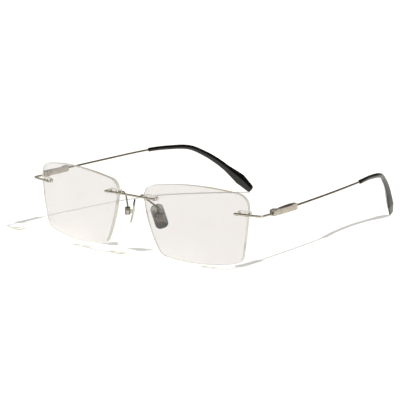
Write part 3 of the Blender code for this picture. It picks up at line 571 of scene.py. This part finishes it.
# Polishing marks are 0.02 mm wide; they are drawn 0.15 mm wide, as fine as can show.
marks = add_node(
    tree, "ShaderNodeTexNoise", {"Scale": 6600.0, "Detail": 1.0}, {"Vector": place.outputs["Object"]}
)
tone = add_node(
    tree,
    "ShaderNodeValToRGB",
    {"stops": [(0.3, colour("#B2AB9F")), (0.7, colour("#C0B9AD"))]},
    {"Fac": cloud.outputs["Fac"]},
)
satin = add_node(
    tree, "ShaderNodeMapRange", {"To Min": 0.30, "To Max": 0.42}, {"Value": marks.outputs["Fac"]}
)
relief = add_node(
    tree, "ShaderNodeBump", {"Strength": 0.15, "Distance": 0.00002}, {"Height": marks.outputs["Fac"]}
)
tree.links.new(tone.outputs["Color"], shader.inputs["Base Color"])
tree.links.new(satin.outputs["Result"], shader.inputs["Roughness"])
tree.links.new(relief.outputs["Normal"], shader.inputs["Normal"])

on_front = lying_on_lens(BRIDGE_MOUNT)
middle = Vector((0, on_front[-1].y - BRIDGE_FORWARD, on_front[-1].z + BRIDGE_RISE))
other_half = [Vector((-point.x, point.y, point.z)) for point in reversed(on_front)]
BRIDGE_POINTS = on_front + [middle] + other_half
bridge = wire(BRIDGE_POINTS, FRAME_WIRE, fineness=12)
add_pins(bridge, BRIDGE_MOUNT, mirror=True)
bridge.data.materials.append(titanium)
fit(bridge, "bridge_bar", "front")

on_front = lying_on_lens(ENDPIECE_MOUNT)
edge = on_front[-1]
corner = edge + ACROSS * (HINGE.x + WIRE_OUT - edge.x) / ACROSS.x + Vector((0, CORNER_SWEEP, 0))
outward = (corner - edge).normalized()
turned = outward.angle(Vector((0, 1, 0)))
setback = CORNER_RADIUS * math.tan(turned / 2)
start, end = corner - outward * setback, corner + Vector((0, setback, 0))
centre = end - Vector((CORNER_RADIUS, 0, 0))
bend = [Vector((*point, corner.z)) for point in arc(centre.xy, start.xy, end.xy, 8)]
socket = Vector((end.x, HINGE.y - BLOCK_AHEAD + SOCKET_DEPTH - CLOSE_GAP, corner.z))
endpiece = wire(on_front + bend + [end, socket], FRAME_WIRE, fineness=4)
add_pins(endpiece, ENDPIECE_MOUNT)
endpiece.data.materials.append(titanium)
fit_pair(endpiece, "endpiece", "front")


# Front hinge blocks
# Milled titanium, soldered to the endpiece wire. A block carries the top and bottom knuckles and
# has a shallow window cut in its front face. Its edges are broken by tumbling.

HINGE_HEIGHT = 0.0026
KNUCKLE_RADIUS, KNUCKLE_GAP = 0.00125, 0.00004
OUTER_FACE, INNER_FACE = 0.0020, 0.0006
BLOCK_BEHIND, BLOCK_SHOULDER = 0.0017, 0.0011
SCREW_RADIUS, SCREW_CLEARANCE = 0.0006, 0.00003
SCREW_HEAD_RADIUS, SCREW_HEAD_THICKNESS = 0.00088, 0.0004
RECESS_DEPTH, RECESS_MARGIN, BLOCK_ROUNDING = 0.0007, 0.0003, 0.00010
HALF_HINGE, HALF_MIDDLE = HINGE_HEIGHT / 2, HINGE_HEIGHT / 6


def block(low, high, place=None):
    """A box between two corners, given in a matrix's own axes."""
    deselect()
    size = Vector(high) - Vector(low)
    bpy.ops.mesh.primitive_cube_add(size=1)
    box = bpy.context.object
    box.data.transform(Matrix.Translation((Vector(low) + Vector(high)) / 2) @ Matrix.Diagonal((*size, 1)))
    box.data.transform(place or Matrix.Translation(HINGE))
    return box


def upright(low, high, radius):
    """A rod on the hinge axis between two heights."""
    return rod(HINGE + Vector((0, 0, low)), HINGE + Vector((0, 0, high)), radius, 48)


piece = block((0, -BLOCK_AHEAD, -HALF_HINGE), (OUTER_FACE, BLOCK_BEHIND, HALF_HINGE))
shoulder_end = BLOCK_SHOULDER + KNUCKLE_RADIUS - BLOCK_AHEAD
shoulder = block((-INNER_FACE, -BLOCK_AHEAD, -HALF_HINGE), (OUTER_FACE / 2, shoulder_end, HALF_HINGE))
combine(piece, "UNION", shoulder)
combine(piece, "UNION", upright(-HALF_HINGE, HALF_HINGE, KNUCKLE_RADIUS))
slot_wall = KNUCKLE_RADIUS + CLOSE_GAP * 2
slot_half = HALF_MIDDLE + KNUCKLE_GAP
slot_low, slot_high = (-2 * KNUCKLE_RADIUS, -slot_wall, -slot_half), (
    slot_wall, BLOCK_BEHIND + PAST, slot_half
)
combine(piece, "DIFFERENCE", block(slot_low, slot_high))
combine(piece, "DIFFERENCE", upright(-3 * PAST, 3 * PAST, SCREW_RADIUS + SCREW_CLEARANCE))
seat = HALF_HINGE - SCREW_HEAD_THICKNESS - CLOSE_GAP
combine(piece, "DIFFERENCE", upright(seat, 3 * PAST, SCREW_HEAD_RADIUS + SCREW_CLEARANCE))
mouth = HINGE + Vector((WIRE_OUT, -BLOCK_AHEAD - PAST, -HINGE_WIRE_DROP))
combine(
    piece, "DIFFERENCE", rod(mouth, mouth + Vector((0, PAST + SOCKET_DEPTH, 0)), FRAME_WIRE + CLOSE_GAP)
)
window_low = (RECESS_MARGIN - INNER_FACE, -BLOCK_AHEAD - PAST, RECESS_MARGIN / 2)
window_high = (OUTER_FACE - RECESS_MARGIN, RECESS_DEPTH - BLOCK_AHEAD, HALF_HINGE - RECESS_MARGIN)
combine(piece, "DIFFERENCE", block(window_low, window_high))
soften(piece, BLOCK_ROUNDING, angle=35)
piece.data.materials.append(titanium)
fit_pair(piece, "hinge_block", "front")


# Hinge screws
# Small turned steel screws that are the hinge pins. Each head lies flush in the top knuckle and
# has one driver slot.

SCREW_ROUNDING = 0.00005

# Turned steel: bright, with fine rings left by the lathe.
steel, tree, shader = principled("turned_steel", {"Metallic": 1.0})
place = add_node(tree, "ShaderNodeTexCoord")
# Lathe rings are 0.03 mm apart; they are drawn 0.1 mm apart, as fine as can show.
rings = add_node(
    tree, "ShaderNodeTexNoise", {"Scale": 9000.0, "Detail": 2.0}, {"Vector": place.outputs["Object"]}
)
tone = add_node(
    tree,
    "ShaderNodeValToRGB",
    {"stops": [(0.3, colour("#AFABA2")), (0.7, colour("#C4C1B9"))]},
    {"Fac": rings.outputs["Fac"]},
)
turned_finish = add_node(
    tree, "ShaderNodeMapRange", {"To Min": 0.16, "To Max": 0.30}, {"Value": rings.outputs["Fac"]}
)
tree.links.new(tone.outputs["Color"], shader.inputs["Base Color"])
tree.links.new(turned_finish.outputs["Result"], shader.inputs["Roughness"])

screw = upright(HALF_HINGE - SCREW_HEAD_THICKNESS, HALF_HINGE, SCREW_HEAD_RADIUS)
combine(screw, "UNION", upright(-HALF_HINGE, HALF_HINGE - SCREW_HEAD_THICKNESS / 2, SCREW_RADIUS))
slot_half = SCREW_HEAD_THICKNESS / 3
slot_low, slot_high = (-2 * PAST, -slot_half, HALF_HINGE - slot_half), (2 * PAST, slot_half, 3 * PAST)
combine(screw, "DIFFERENCE", block(slot_low, slot_high))
soften(screw, SCREW_ROUNDING, angle=40)
screw.data.materials.append(steel)
fit_pair(screw, "hinge_screw", "front")


# Pad arms
# Thin titanium wire, soldered behind the bridge bar. Each loops up and back, then bends down to
# the box that holds a nose pad.

PAD_ARM, PAD_ARM_SPREAD, LOOP_BACK, LOOP_RISE = 0.00038, 0.0060, 0.0018, 0.0005
BAR_STEP = 0.0002
PAD_SPLAY = math.radians(40)
BOX_WIDTH, BOX_BACK, BOX_MOUTH = 0.0028, 0.0013, 0.0011
BOX_TOP, BOX_BOTTOM, BOX_WALL = 0.0019, 0.0014, 0.0005
EAR_THICKNESS, EAR_RADIUS = 0.0009, 0.00078

PAD_PIVOT = next(Vector(joint["pos_m"]) for joint in frame["joints"] if joint["name"] == "pad_rock_left")
PAD_AXIS = Vector((math.sin(PAD_SPLAY), math.cos(PAD_SPLAY), 0))
NOSEWARD = Vector((-math.cos(PAD_SPLAY), math.sin(PAD_SPLAY), 0))
PAD_PLACE = Matrix.Translation(PAD_PIVOT) @ Matrix((PAD_AXIS, NOSEWARD, (0, 0, 1))).transposed().to_4x4()


def smooth_path(points, step):
    """Points about a step apart on the curve that a wire through the same points follows."""
    last = len(points) - 1
    slopes = [(points[min(i + 1, last)] - points[max(i - 1, 0)]).normalized() for i in range(len(points))]
    path = [points[0]]
    for i in range(last):
        near, far = points[i], points[i + 1]
        reach = (far - near).length / 3
        count = max(3, math.ceil((far - near).length / step) + 1)
        path += interpolate_bezier(near, near + slopes[i] * reach, far - slopes[i + 1] * reach, far, count)[
            1:
        ]
    return path


# Satin titanium plated olive grey: the same drawn finish, darker and a little shinier.
olive, tree, shader = principled("olive_plated_titanium", {"Metallic": 1.0})
place = add_node(tree, "ShaderNodeTexCoord")
cloud = add_node(
    tree, "ShaderNodeTexNoise", {"Scale": 250.0, "Detail": 3.0}, {"Vector": place.outputs["Object"]}
)
tone = add_node(
    tree,
    "ShaderNodeValToRGB",
    {"stops": [(0.3, colour("#74695A")), (0.7, colour("#847969"))]},
    {"Fac": cloud.outputs["Fac"]},
)
# Drawing lines are 0.02 mm apart; they are drawn 0.15 mm apart, as fine as can show.
lines = add_node(
    tree, "ShaderNodeTexNoise", {"Scale": 6600.0, "Detail": 1.0}, {"Vector": place.outputs["Object"]}
)
satin = add_node(
    tree, "ShaderNodeMapRange", {"To Min": 0.25, "To Max": 0.34}, {"Value": lines.outputs["Fac"]}
)
tree.links.new(tone.outputs["Color"], shader.inputs["Base Color"])
tree.links.new(satin.outputs["Result"], shader.inputs["Roughness"])

bar = min(smooth_path(BRIDGE_POINTS, BAR_STEP), key=lambda point: abs(point.x - PAD_ARM_SPREAD))
start = Vector((PAD_ARM_SPREAD, bar.y + FRAME_WIRE + CLOSE_GAP, bar.z))
end = PAD_PLACE @ Vector((0, 0, BOX_TOP + CLOSE_GAP))
loop = start + Vector((0, LOOP_BACK, LOOP_RISE))
shoulder = (3 * loop + end) / 4 + Vector((0, LOOP_BACK / 2, 0))
knee = end + Vector((0, -PAD_ARM, BOX_TOP))
arm = wire([start, loop, shoulder, knee, end], PAD_ARM, fineness=10)
arm.data.materials.append(olive)
fit_pair(arm, "pad_arm", "front")


# Pad boxes and screws
# A small stamped titanium box on each arm takes the ear of the nose pad in a slot. A steel screw
# goes through both from the front, and its slotted head stands out as a bright dot.

PAD_SCREW, PAD_HEAD_RADIUS, PAD_HEAD_THICKNESS = 0.00038, 0.00085, 0.0004
PAD_DRIVER_HALF, BOX_ROUNDING, HEAD_ROUNDING = 0.00012, 0.00012, 0.00008


def across_box(low, high, radius, sides=32):
    """A rod along the pad screw's axis."""
    return rod(PAD_PLACE @ Vector((low, 0, 0)), PAD_PLACE @ Vector((high, 0, 0)), radius, sides)


half = BOX_WIDTH / 2
slot_half = EAR_THICKNESS / 2 + CLOSE_GAP
box = block((-half, -BOX_BACK, -BOX_BOTTOM), (half, BOX_MOUTH, BOX_TOP), PAD_PLACE)
slot_low = (-slot_half, BOX_WALL - BOX_BACK, -BOX_BOTTOM - PAST)
slot_high = (slot_half, BOX_MOUTH + PAST, BOX_TOP - BOX_WALL)
combine(box, "DIFFERENCE", block(slot_low, slot_high, PAD_PLACE))
combine(box, "DIFFERENCE", across_box(-half - PAST, half + PAST, PAD_SCREW + CLOSE_GAP))
soften(box, BOX_ROUNDING, angle=40, segments=3)
box.data.materials.append(olive)
fit_pair(box, "pad_box", "front")

seat = -half - CLOSE_GAP
screw = across_box(seat - PAD_HEAD_THICKNESS, seat, PAD_HEAD_RADIUS)
combine(screw, "UNION", across_box(seat - PAD_HEAD_THICKNESS / 2, half, PAD_SCREW))
slot_depth = PAD_HEAD_THICKNESS * 0.4
slot_low = (seat - PAD_HEAD_THICKNESS - PAST, -PAST, -PAD_DRIVER_HALF)
slot_high = (seat - PAD_HEAD_THICKNESS + slot_depth, PAST, PAD_DRIVER_HALF)
combine(screw, "DIFFERENCE", block(slot_low, slot_high, PAD_PLACE))
soften(screw, HEAD_ROUNDING, angle=40, segments=3)
screw.data.materials.append(steel)
fit_pair(screw, "pad_screw", "front")


# Nose pads
# Pressed and polished titanium, thin and slightly crowned towards the nose, with rolled edges. An
# ear brazed on the back rocks on the pad screw.

PAD_LENGTH, PAD_WIDTH, PAD_THICKNESS, PAD_ROUND = 0.0114, 0.0061, 0.0008, 0.0024
PAD_DISH, PAD_REACH, PAD_BELOW = 0.025, 0.0028, 0.0001
PAD_RINGS, PAD_ROUNDING, EAR_ROUNDING = (0.0003, 0.0005, 0.0007, 0.0007), 0.0002, 0.00008
PAD_TILT, PAD_LEAN = math.radians(11), math.radians(16)

# Polished titanium under a grey-green plating: almost a mirror, with hairline polishing swirls.
polished, tree, shader = principled("polished_plated_titanium", {"Metallic": 1.0})
place = add_node(tree, "ShaderNodeTexCoord")
swirls = add_node(
    tree,
    "ShaderNodeTexNoise",
    {"Scale": 500.0, "Detail": 4.0, "Distortion": 2.0},
    {"Vector": place.outputs["Object"]},
)
tone = add_node(
    tree,
    "ShaderNodeValToRGB",
    {"stops": [(0.3, colour("#A7B0A5")), (0.7, colour("#B6BEB3"))]},
    {"Fac": swirls.outputs["Fac"]},
)
mirror = add_node(
    tree, "ShaderNodeMapRange", {"To Min": 0.07, "To Max": 0.16}, {"Value": swirls.outputs["Fac"]}
)
tree.links.new(tone.outputs["Color"], shader.inputs["Base Color"])
tree.links.new(mirror.outputs["Result"], shader.inputs["Roughness"])

deselect()
bpy.ops.mesh.primitive_plane_add(size=1)
pad = bpy.context.object
for vertex in pad.data.vertices:
    vertex.co = (vertex.co.x * PAD_WIDTH, 0, vertex.co.y * PAD_LENGTH)
bpy.ops.object.mode_set(mode="EDIT")
bpy.ops.mesh.select_all(action="SELECT")
bpy.ops.mesh.bevel(offset=PAD_ROUND, segments=12, affect="VERTICES")
bpy.ops.mesh.select_all(action="SELECT")
for step in PAD_RINGS:
    bpy.ops.mesh.inset(thickness=step)
bpy.ops.mesh.poke()
bpy.ops.object.mode_set(mode="OBJECT")
for vertex in pad.data.vertices:
    vertex.co.y = -(vertex.co.x**2 + vertex.co.z**2) / (2 * PAD_DISH)
wall = pad.modifiers.new("wall", "SOLIDIFY")
wall.thickness, wall.offset = PAD_THICKNESS, 0
bpy.ops.object.modifier_apply(modifier=wall.name)
lean = Matrix.Rotation(-PAD_TILT, 4, "X") @ Matrix.Rotation(-PAD_LEAN, 4, "Y")
pad.data.transform(PAD_PLACE @ Matrix.Translation((0, PAD_REACH, -PAD_BELOW)) @ lean)
soften(pad, PAD_ROUNDING, angle=40, segments=3)
half_ear = EAR_THICKNESS / 2
ear = block((-half_ear, 0, -EAR_RADIUS), (half_ear, PAD_REACH, EAR_RADIUS), PAD_PLACE)
combine(ear, "UNION", across_box(-half_ear, half_ear, EAR_RADIUS))
soften(ear, EAR_ROUNDING, angle=40)
combine(pad, "UNION", ear)
combine(pad, "DIFFERENCE", across_box(-2 * PAST, 2 * PAST, PAD_SCREW + CLOSE_GAP * 2))
bpy.ops.object.shade_smooth_by_angle(angle=math.radians(40))
pad.data.materials.append(polished)
fit_pair(pad, "nose_pad", "pad_")


# Temple plates
# Milled titanium behind the hinge. The middle knuckle turns on the screw, the top rises to the
# rear in a low ridge, and the temple wire is soldered into the raised end.

PLATE_END, PLATE_TAPER, PLATE_RIDGE, PLATE_CUTS, PLATE_ROUNDING = 0.0143, 0.0003, 0.0007, 30, 0.00018
TEMPLE_WIRE, TEMPLE_WIRE_OUT, TEMPLE_WIRE_RISE, TEMPLE_SOCKET = 0.00045, 0.0009, 0.00065, 0.0030
# Shares of the plate's length, of its taper, and of its ridge at the inner and the outer edge
PLATE_STATIONS = (
    (0, 0, 0, 0), (0.22, 0.1, 0.5, 0), (0.45, 0.3, 0.75, 0), (0.62, 0.5, 0.95, 0.1),
    (0.78, 0.6, 1, 0.75), (0.92, 0.8, 1, 0.85), (1, 1.4, 0.6, 0.4),
)


def between(stations, at):
    """Sizes between the stations of a table of distance and sizes, eased at each station."""
    for (near, *sizes), (far, *next_sizes) in zip(stations, stations[1:]):
        if at <= far:
            share = (at - near) / (far - near)
            eased = share * share * (3 - 2 * share)
            return [a + (b - a) * eased for a, b in zip(sizes, next_sizes)]
    return stations[-1][1:]


plate_start = BLOCK_BEHIND + CLOSE_GAP
plate_length = PLATE_END - plate_start
plate = block((0, plate_start, -HALF_HINGE), (OUTER_FACE, PLATE_END, HALF_HINGE))
make_active(plate)
bpy.ops.object.mode_set(mode="EDIT")
for cut in range(1, PLATE_CUTS):
    bpy.ops.mesh.select_all(action="SELECT")
    at = plate_start + plate_length * cut / PLATE_CUTS
    bpy.ops.mesh.bisect(plane_co=HINGE + Vector((0, at, 0)), plane_no=(0, 1, 0))
bpy.ops.object.mode_set(mode="OBJECT")
for vertex in plate.data.vertices:
    across, along, up = vertex.co - HINGE
    share = min(1, max(0, (along - plate_start) / plate_length))
    narrow, inner_rise, outer_rise = between(PLATE_STATIONS, share)
    outer = across > OUTER_FACE / 2
    vertex.co.x = HINGE.x + (OUTER_FACE - PLATE_TAPER * narrow if outer else PLATE_TAPER * narrow)
    if up < 0:
        vertex.co.z = HINGE.z - HALF_HINGE + PLATE_TAPER * narrow
    else:
        vertex.co.z = HINGE.z + HALF_HINGE + PLATE_RIDGE * (outer_rise if outer else inner_rise)
knuckle_half = HALF_MIDDLE - KNUCKLE_GAP
web_reach = KNUCKLE_RADIUS - CLOSE_GAP
web = block((-web_reach, 0, -knuckle_half), (web_reach, BLOCK_BEHIND + BLOCK_SHOULDER, knuckle_half))
combine(plate, "UNION", web)
combine(plate, "UNION", upright(-knuckle_half, knuckle_half, KNUCKLE_RADIUS))
combine(plate, "DIFFERENCE", upright(-3 * PAST, 3 * PAST, SCREW_RADIUS + SCREW_CLEARANCE))
wire_start = HINGE + Vector((TEMPLE_WIRE_OUT, PLATE_END - TEMPLE_SOCKET, TEMPLE_WIRE_RISE))
combine(
    plate,
    "DIFFERENCE",
    rod(wire_start, wire_start + Vector((0, 2 * TEMPLE_SOCKET, 0)), TEMPLE_WIRE + CLOSE_GAP),
)
soften(plate, PLATE_ROUNDING, angle=25, segments=3)
plate.data.materials.append(titanium)
fit_pair(plate, "temple_plate", "temple_")


# Temple wires
# Drawn titanium wire, 0.9 mm thick, that bows out a little and runs on inside the black tip. It has
# the pad arms' olive plating, darker than the front's.

TO_SLEEVE, TO_BEND = 0.0671, 0.0915
SLEEVE_INSET, SLEEVE_RISE, BEND_INSET, BEND_RISE = 0.0033, 0.0025, 0.0093, 0.0010

leave = wire_start + Vector((0, TEMPLE_SOCKET + CLOSE_GAP, 0))
sleeve = HINGE + Vector((-SLEEVE_INSET, TO_SLEEVE, SLEEVE_RISE))
bend = HINGE + Vector((-BEND_INSET, TO_BEND, BEND_RISE))
halfway = leave.lerp(sleeve, 0.5) + Vector(((SLEEVE_INSET + TEMPLE_WIRE_OUT) / 8, 0, 0))
crest = sleeve.lerp(bend, 0.5) + Vector((0, 0, SLEEVE_RISE / 4))
inner_end = wire_start + Vector((0, CLOSE_GAP, 0))
temple = wire([inner_end, leave, halfway, sleeve, crest, bend], TEMPLE_WIRE, fineness=24)
temple.data.materials.append(olive)
fit_pair(temple, "temple_wire", "temple_")


# Temple tips
# Black cellulose acetate, pressed over the wire and polished. A thin round sleeve turns down behind
# the ear and opens into a flat-sided paddle with a ridge along each side and a rounded end.

TIP_DROP, TIP_TURN_IN, TIP_CROWN, TIP_END_LIFT = 0.0432, math.radians(26.6), 0.0025, 0.0014
CROWN_STATIONS = ((0.22, 0.8), (0.42, 1.0), (0.63, 0.8), (0.82, 0.5))
SLEEVE_RADIUS, SHANK_RADIUS, SHANK_FACET = 0.0010, 0.00118, 0.2
NECK_SIZE, PADDLE_SIZE, TIP_END_SIZE = (0.0017, 0.0016), (0.0029, 0.0019), (0.0019, 0.0011)
NECK_TO_END, PADDLE_TO_END = 0.0190, 0.0088
TIP_EDGE_SHARE, TIP_STEP, TIP_MOUTH, TIP_ROUNDING = 0.25, 0.001, 0.0003, 0.00016
CAP_WITHIN = 0.0005
# How far each step of the rounded end goes on, and what it leaves of the width
TIP_END_STEPS = ((0.00035, 0.93), (0.00025, 0.86), (0.00012, 0.72))

# Polished acetate: jet black with a faint cloud in it, and buffing that leaves the gloss uneven.
acetate, tree, shader = principled("black_acetate", {"IOR": 1.48})
place = add_node(tree, "ShaderNodeTexCoord")
cloud = add_node(
    tree, "ShaderNodeTexNoise", {"Scale": 160.0, "Detail": 3.0}, {"Vector": place.outputs["Object"]}
)
tone = add_node(
    tree,
    "ShaderNodeValToRGB",
    {"stops": [(0.35, colour("#070707")), (0.7, colour("#0E0E0D"))]},
    {"Fac": cloud.outputs["Fac"]},
)
buffing = add_node(
    tree, "ShaderNodeMapRange", {"To Min": 0.05, "To Max": 0.12}, {"Value": cloud.outputs["Fac"]}
)
tree.links.new(tone.outputs["Color"], shader.inputs["Base Color"])
tree.links.new(buffing.outputs["Result"], shader.inputs["Roughness"])


def tip_section(half_height, half_thickness, facet):
    """A ring of pairs: round where facet is 0, and a flat-sided diamond where it is 1."""
    slope = (1 + TIP_EDGE_SHARE) / 2
    half_ring = ((1, TIP_EDGE_SHARE), (0.5, slope), (0, 1), (-0.5, slope), (-1, TIP_EDGE_SHARE), (-1, 0))
    corners = half_ring + tuple((-a, -b) for a, b in half_ring)
    ring = []
    for (a, b), (c, d) in zip(corners, corners[1:] + corners[:1]):
        for x, y in ((a, b), ((a + c) / 2, (b + d) / 2)):
            scale = facet + (1 - facet) / math.hypot(x, y)
            ring.append((x * scale * half_height, y * scale * half_thickness))
    return ring


drop_angle = math.asin((bend.z - TIP_END_LIFT) / TIP_DROP)
level = math.cos(drop_angle)
down = Vector((-math.sin(TIP_TURN_IN) * level, math.cos(TIP_TURN_IN) * level, -math.sin(drop_angle)))
bulge = Vector((1, 0, 0)).cross(down).normalized() * TIP_CROWN
lower = [bend + down * TIP_DROP * share + bulge * swell for share, swell in CROWN_STATIONS]
path = smooth_path([halfway, sleeve, crest, bend] + lower + [bend + down * TIP_DROP], TIP_STEP)
path = path[min(range(len(path)), key=lambda i: (path[i] - sleeve).length) :]
run = [0.0]
for near, far in zip(path, path[1:]):
    run.append(run[-1] + (far - near).length)
stations = (
    (0, SLEEVE_RADIUS, SLEEVE_RADIUS, 0),
    (TO_BEND - TO_SLEEVE, SHANK_RADIUS, SHANK_RADIUS, SHANK_FACET),
    (run[-1] - NECK_TO_END, *NECK_SIZE, 1),
    (run[-1] - PADDLE_TO_END, *PADDLE_SIZE, 1),
    (run[-1], *TIP_END_SIZE, 1),
)
rings, side = [], Vector((1, 0, 0))
for i, (point, at) in enumerate(zip(path, run)):
    tangent = (path[min(i + 1, len(path) - 1)] - path[max(i - 1, 0)]).normalized()
    side = (side - tangent * side.dot(tangent)).normalized()
    up = tangent.cross(side)
    for (near, *sizes), (far, *next_sizes) in zip(stations, stations[1:]):
        if at <= far:
            break
    share = min(1, (at - near) / (far - near))
    size = [a + (b - a) * share for a, b in zip(sizes, next_sizes)]
    if point == path[-1]:
        point = point - tangent * sum(advance for advance, shrink in TIP_END_STEPS)
    rings.append([point + up * a + side * b for a, b in tip_section(*size)])
end_centre = sum(rings[-1], Vector()) / len(rings[-1])
deselect()
round_count, long_count = len(rings[0]), len(rings) - 1
bpy.ops.mesh.primitive_grid_add(x_subdivisions=round_count, y_subdivisions=long_count, size=1)
tip = bpy.context.object
for vertex in tip.data.vertices:
    column, row = round((vertex.co.x + 0.5) * round_count), round((vertex.co.y + 0.5) * long_count)
    vertex.co = rings[row][column % round_count]
bpy.ops.object.mode_set(mode="EDIT")
bpy.ops.mesh.select_all(action="SELECT")
bpy.ops.mesh.remove_doubles(threshold=MERGED)
bpy.ops.mesh.fill_holes(sides=0)
bpy.ops.mesh.select_all(action="SELECT")
bpy.ops.mesh.normals_make_consistent(inside=False)
# The crease round the paddle at its widest stays crisp.
crest_row = min(range(len(run)), key=lambda i: abs(run[i] - run[-1] + PADDLE_TO_END))
crest_ring = [Vector(point) for point in rings[crest_row]]
on_crest = {
    vertex.index
    for vertex in tip.data.vertices
    if min((vertex.co - point).length for point in crest_ring) < ALIKE
}
pick(tip, lambda edge: set(edge.vertices) <= on_crest, "EDGE")
bpy.ops.mesh.mark_sharp()
pick(tip, lambda face: len(face.vertices) > 4 and (face.center - end_centre).length < CAP_WITHIN)
for advance, shrink in TIP_END_STEPS:
    bpy.ops.mesh.extrude_region_move(TRANSFORM_OT_translate={"value": tangent * advance})
    end_centre = end_centre + tangent * advance
    bpy.ops.transform.resize(value=(shrink, shrink, shrink), center_override=end_centre)
pick(tip, lambda face: len(face.vertices) > 4 and (face.center - path[0]).length < CAP_WITHIN)
bpy.ops.mesh.inset(thickness=TIP_MOUTH)
inward = (path[1] - path[0]).normalized() * TIP_MOUTH
bpy.ops.mesh.extrude_region_move(TRANSFORM_OT_translate={"value": inward})
bpy.ops.object.mode_set(mode="OBJECT")
soften(tip, TIP_ROUNDING, angle=22)
tip.data.materials.append(acetate)
fit_pair(tip, "temple_tip", "temple_")

# Then the bounds of the CAD parts and of the finer pieces, side by side.

visual_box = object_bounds()
sizes = {"cad": [list(corner) for corner in cad_box], "visual": [list(corner) for corner in visual_box]}
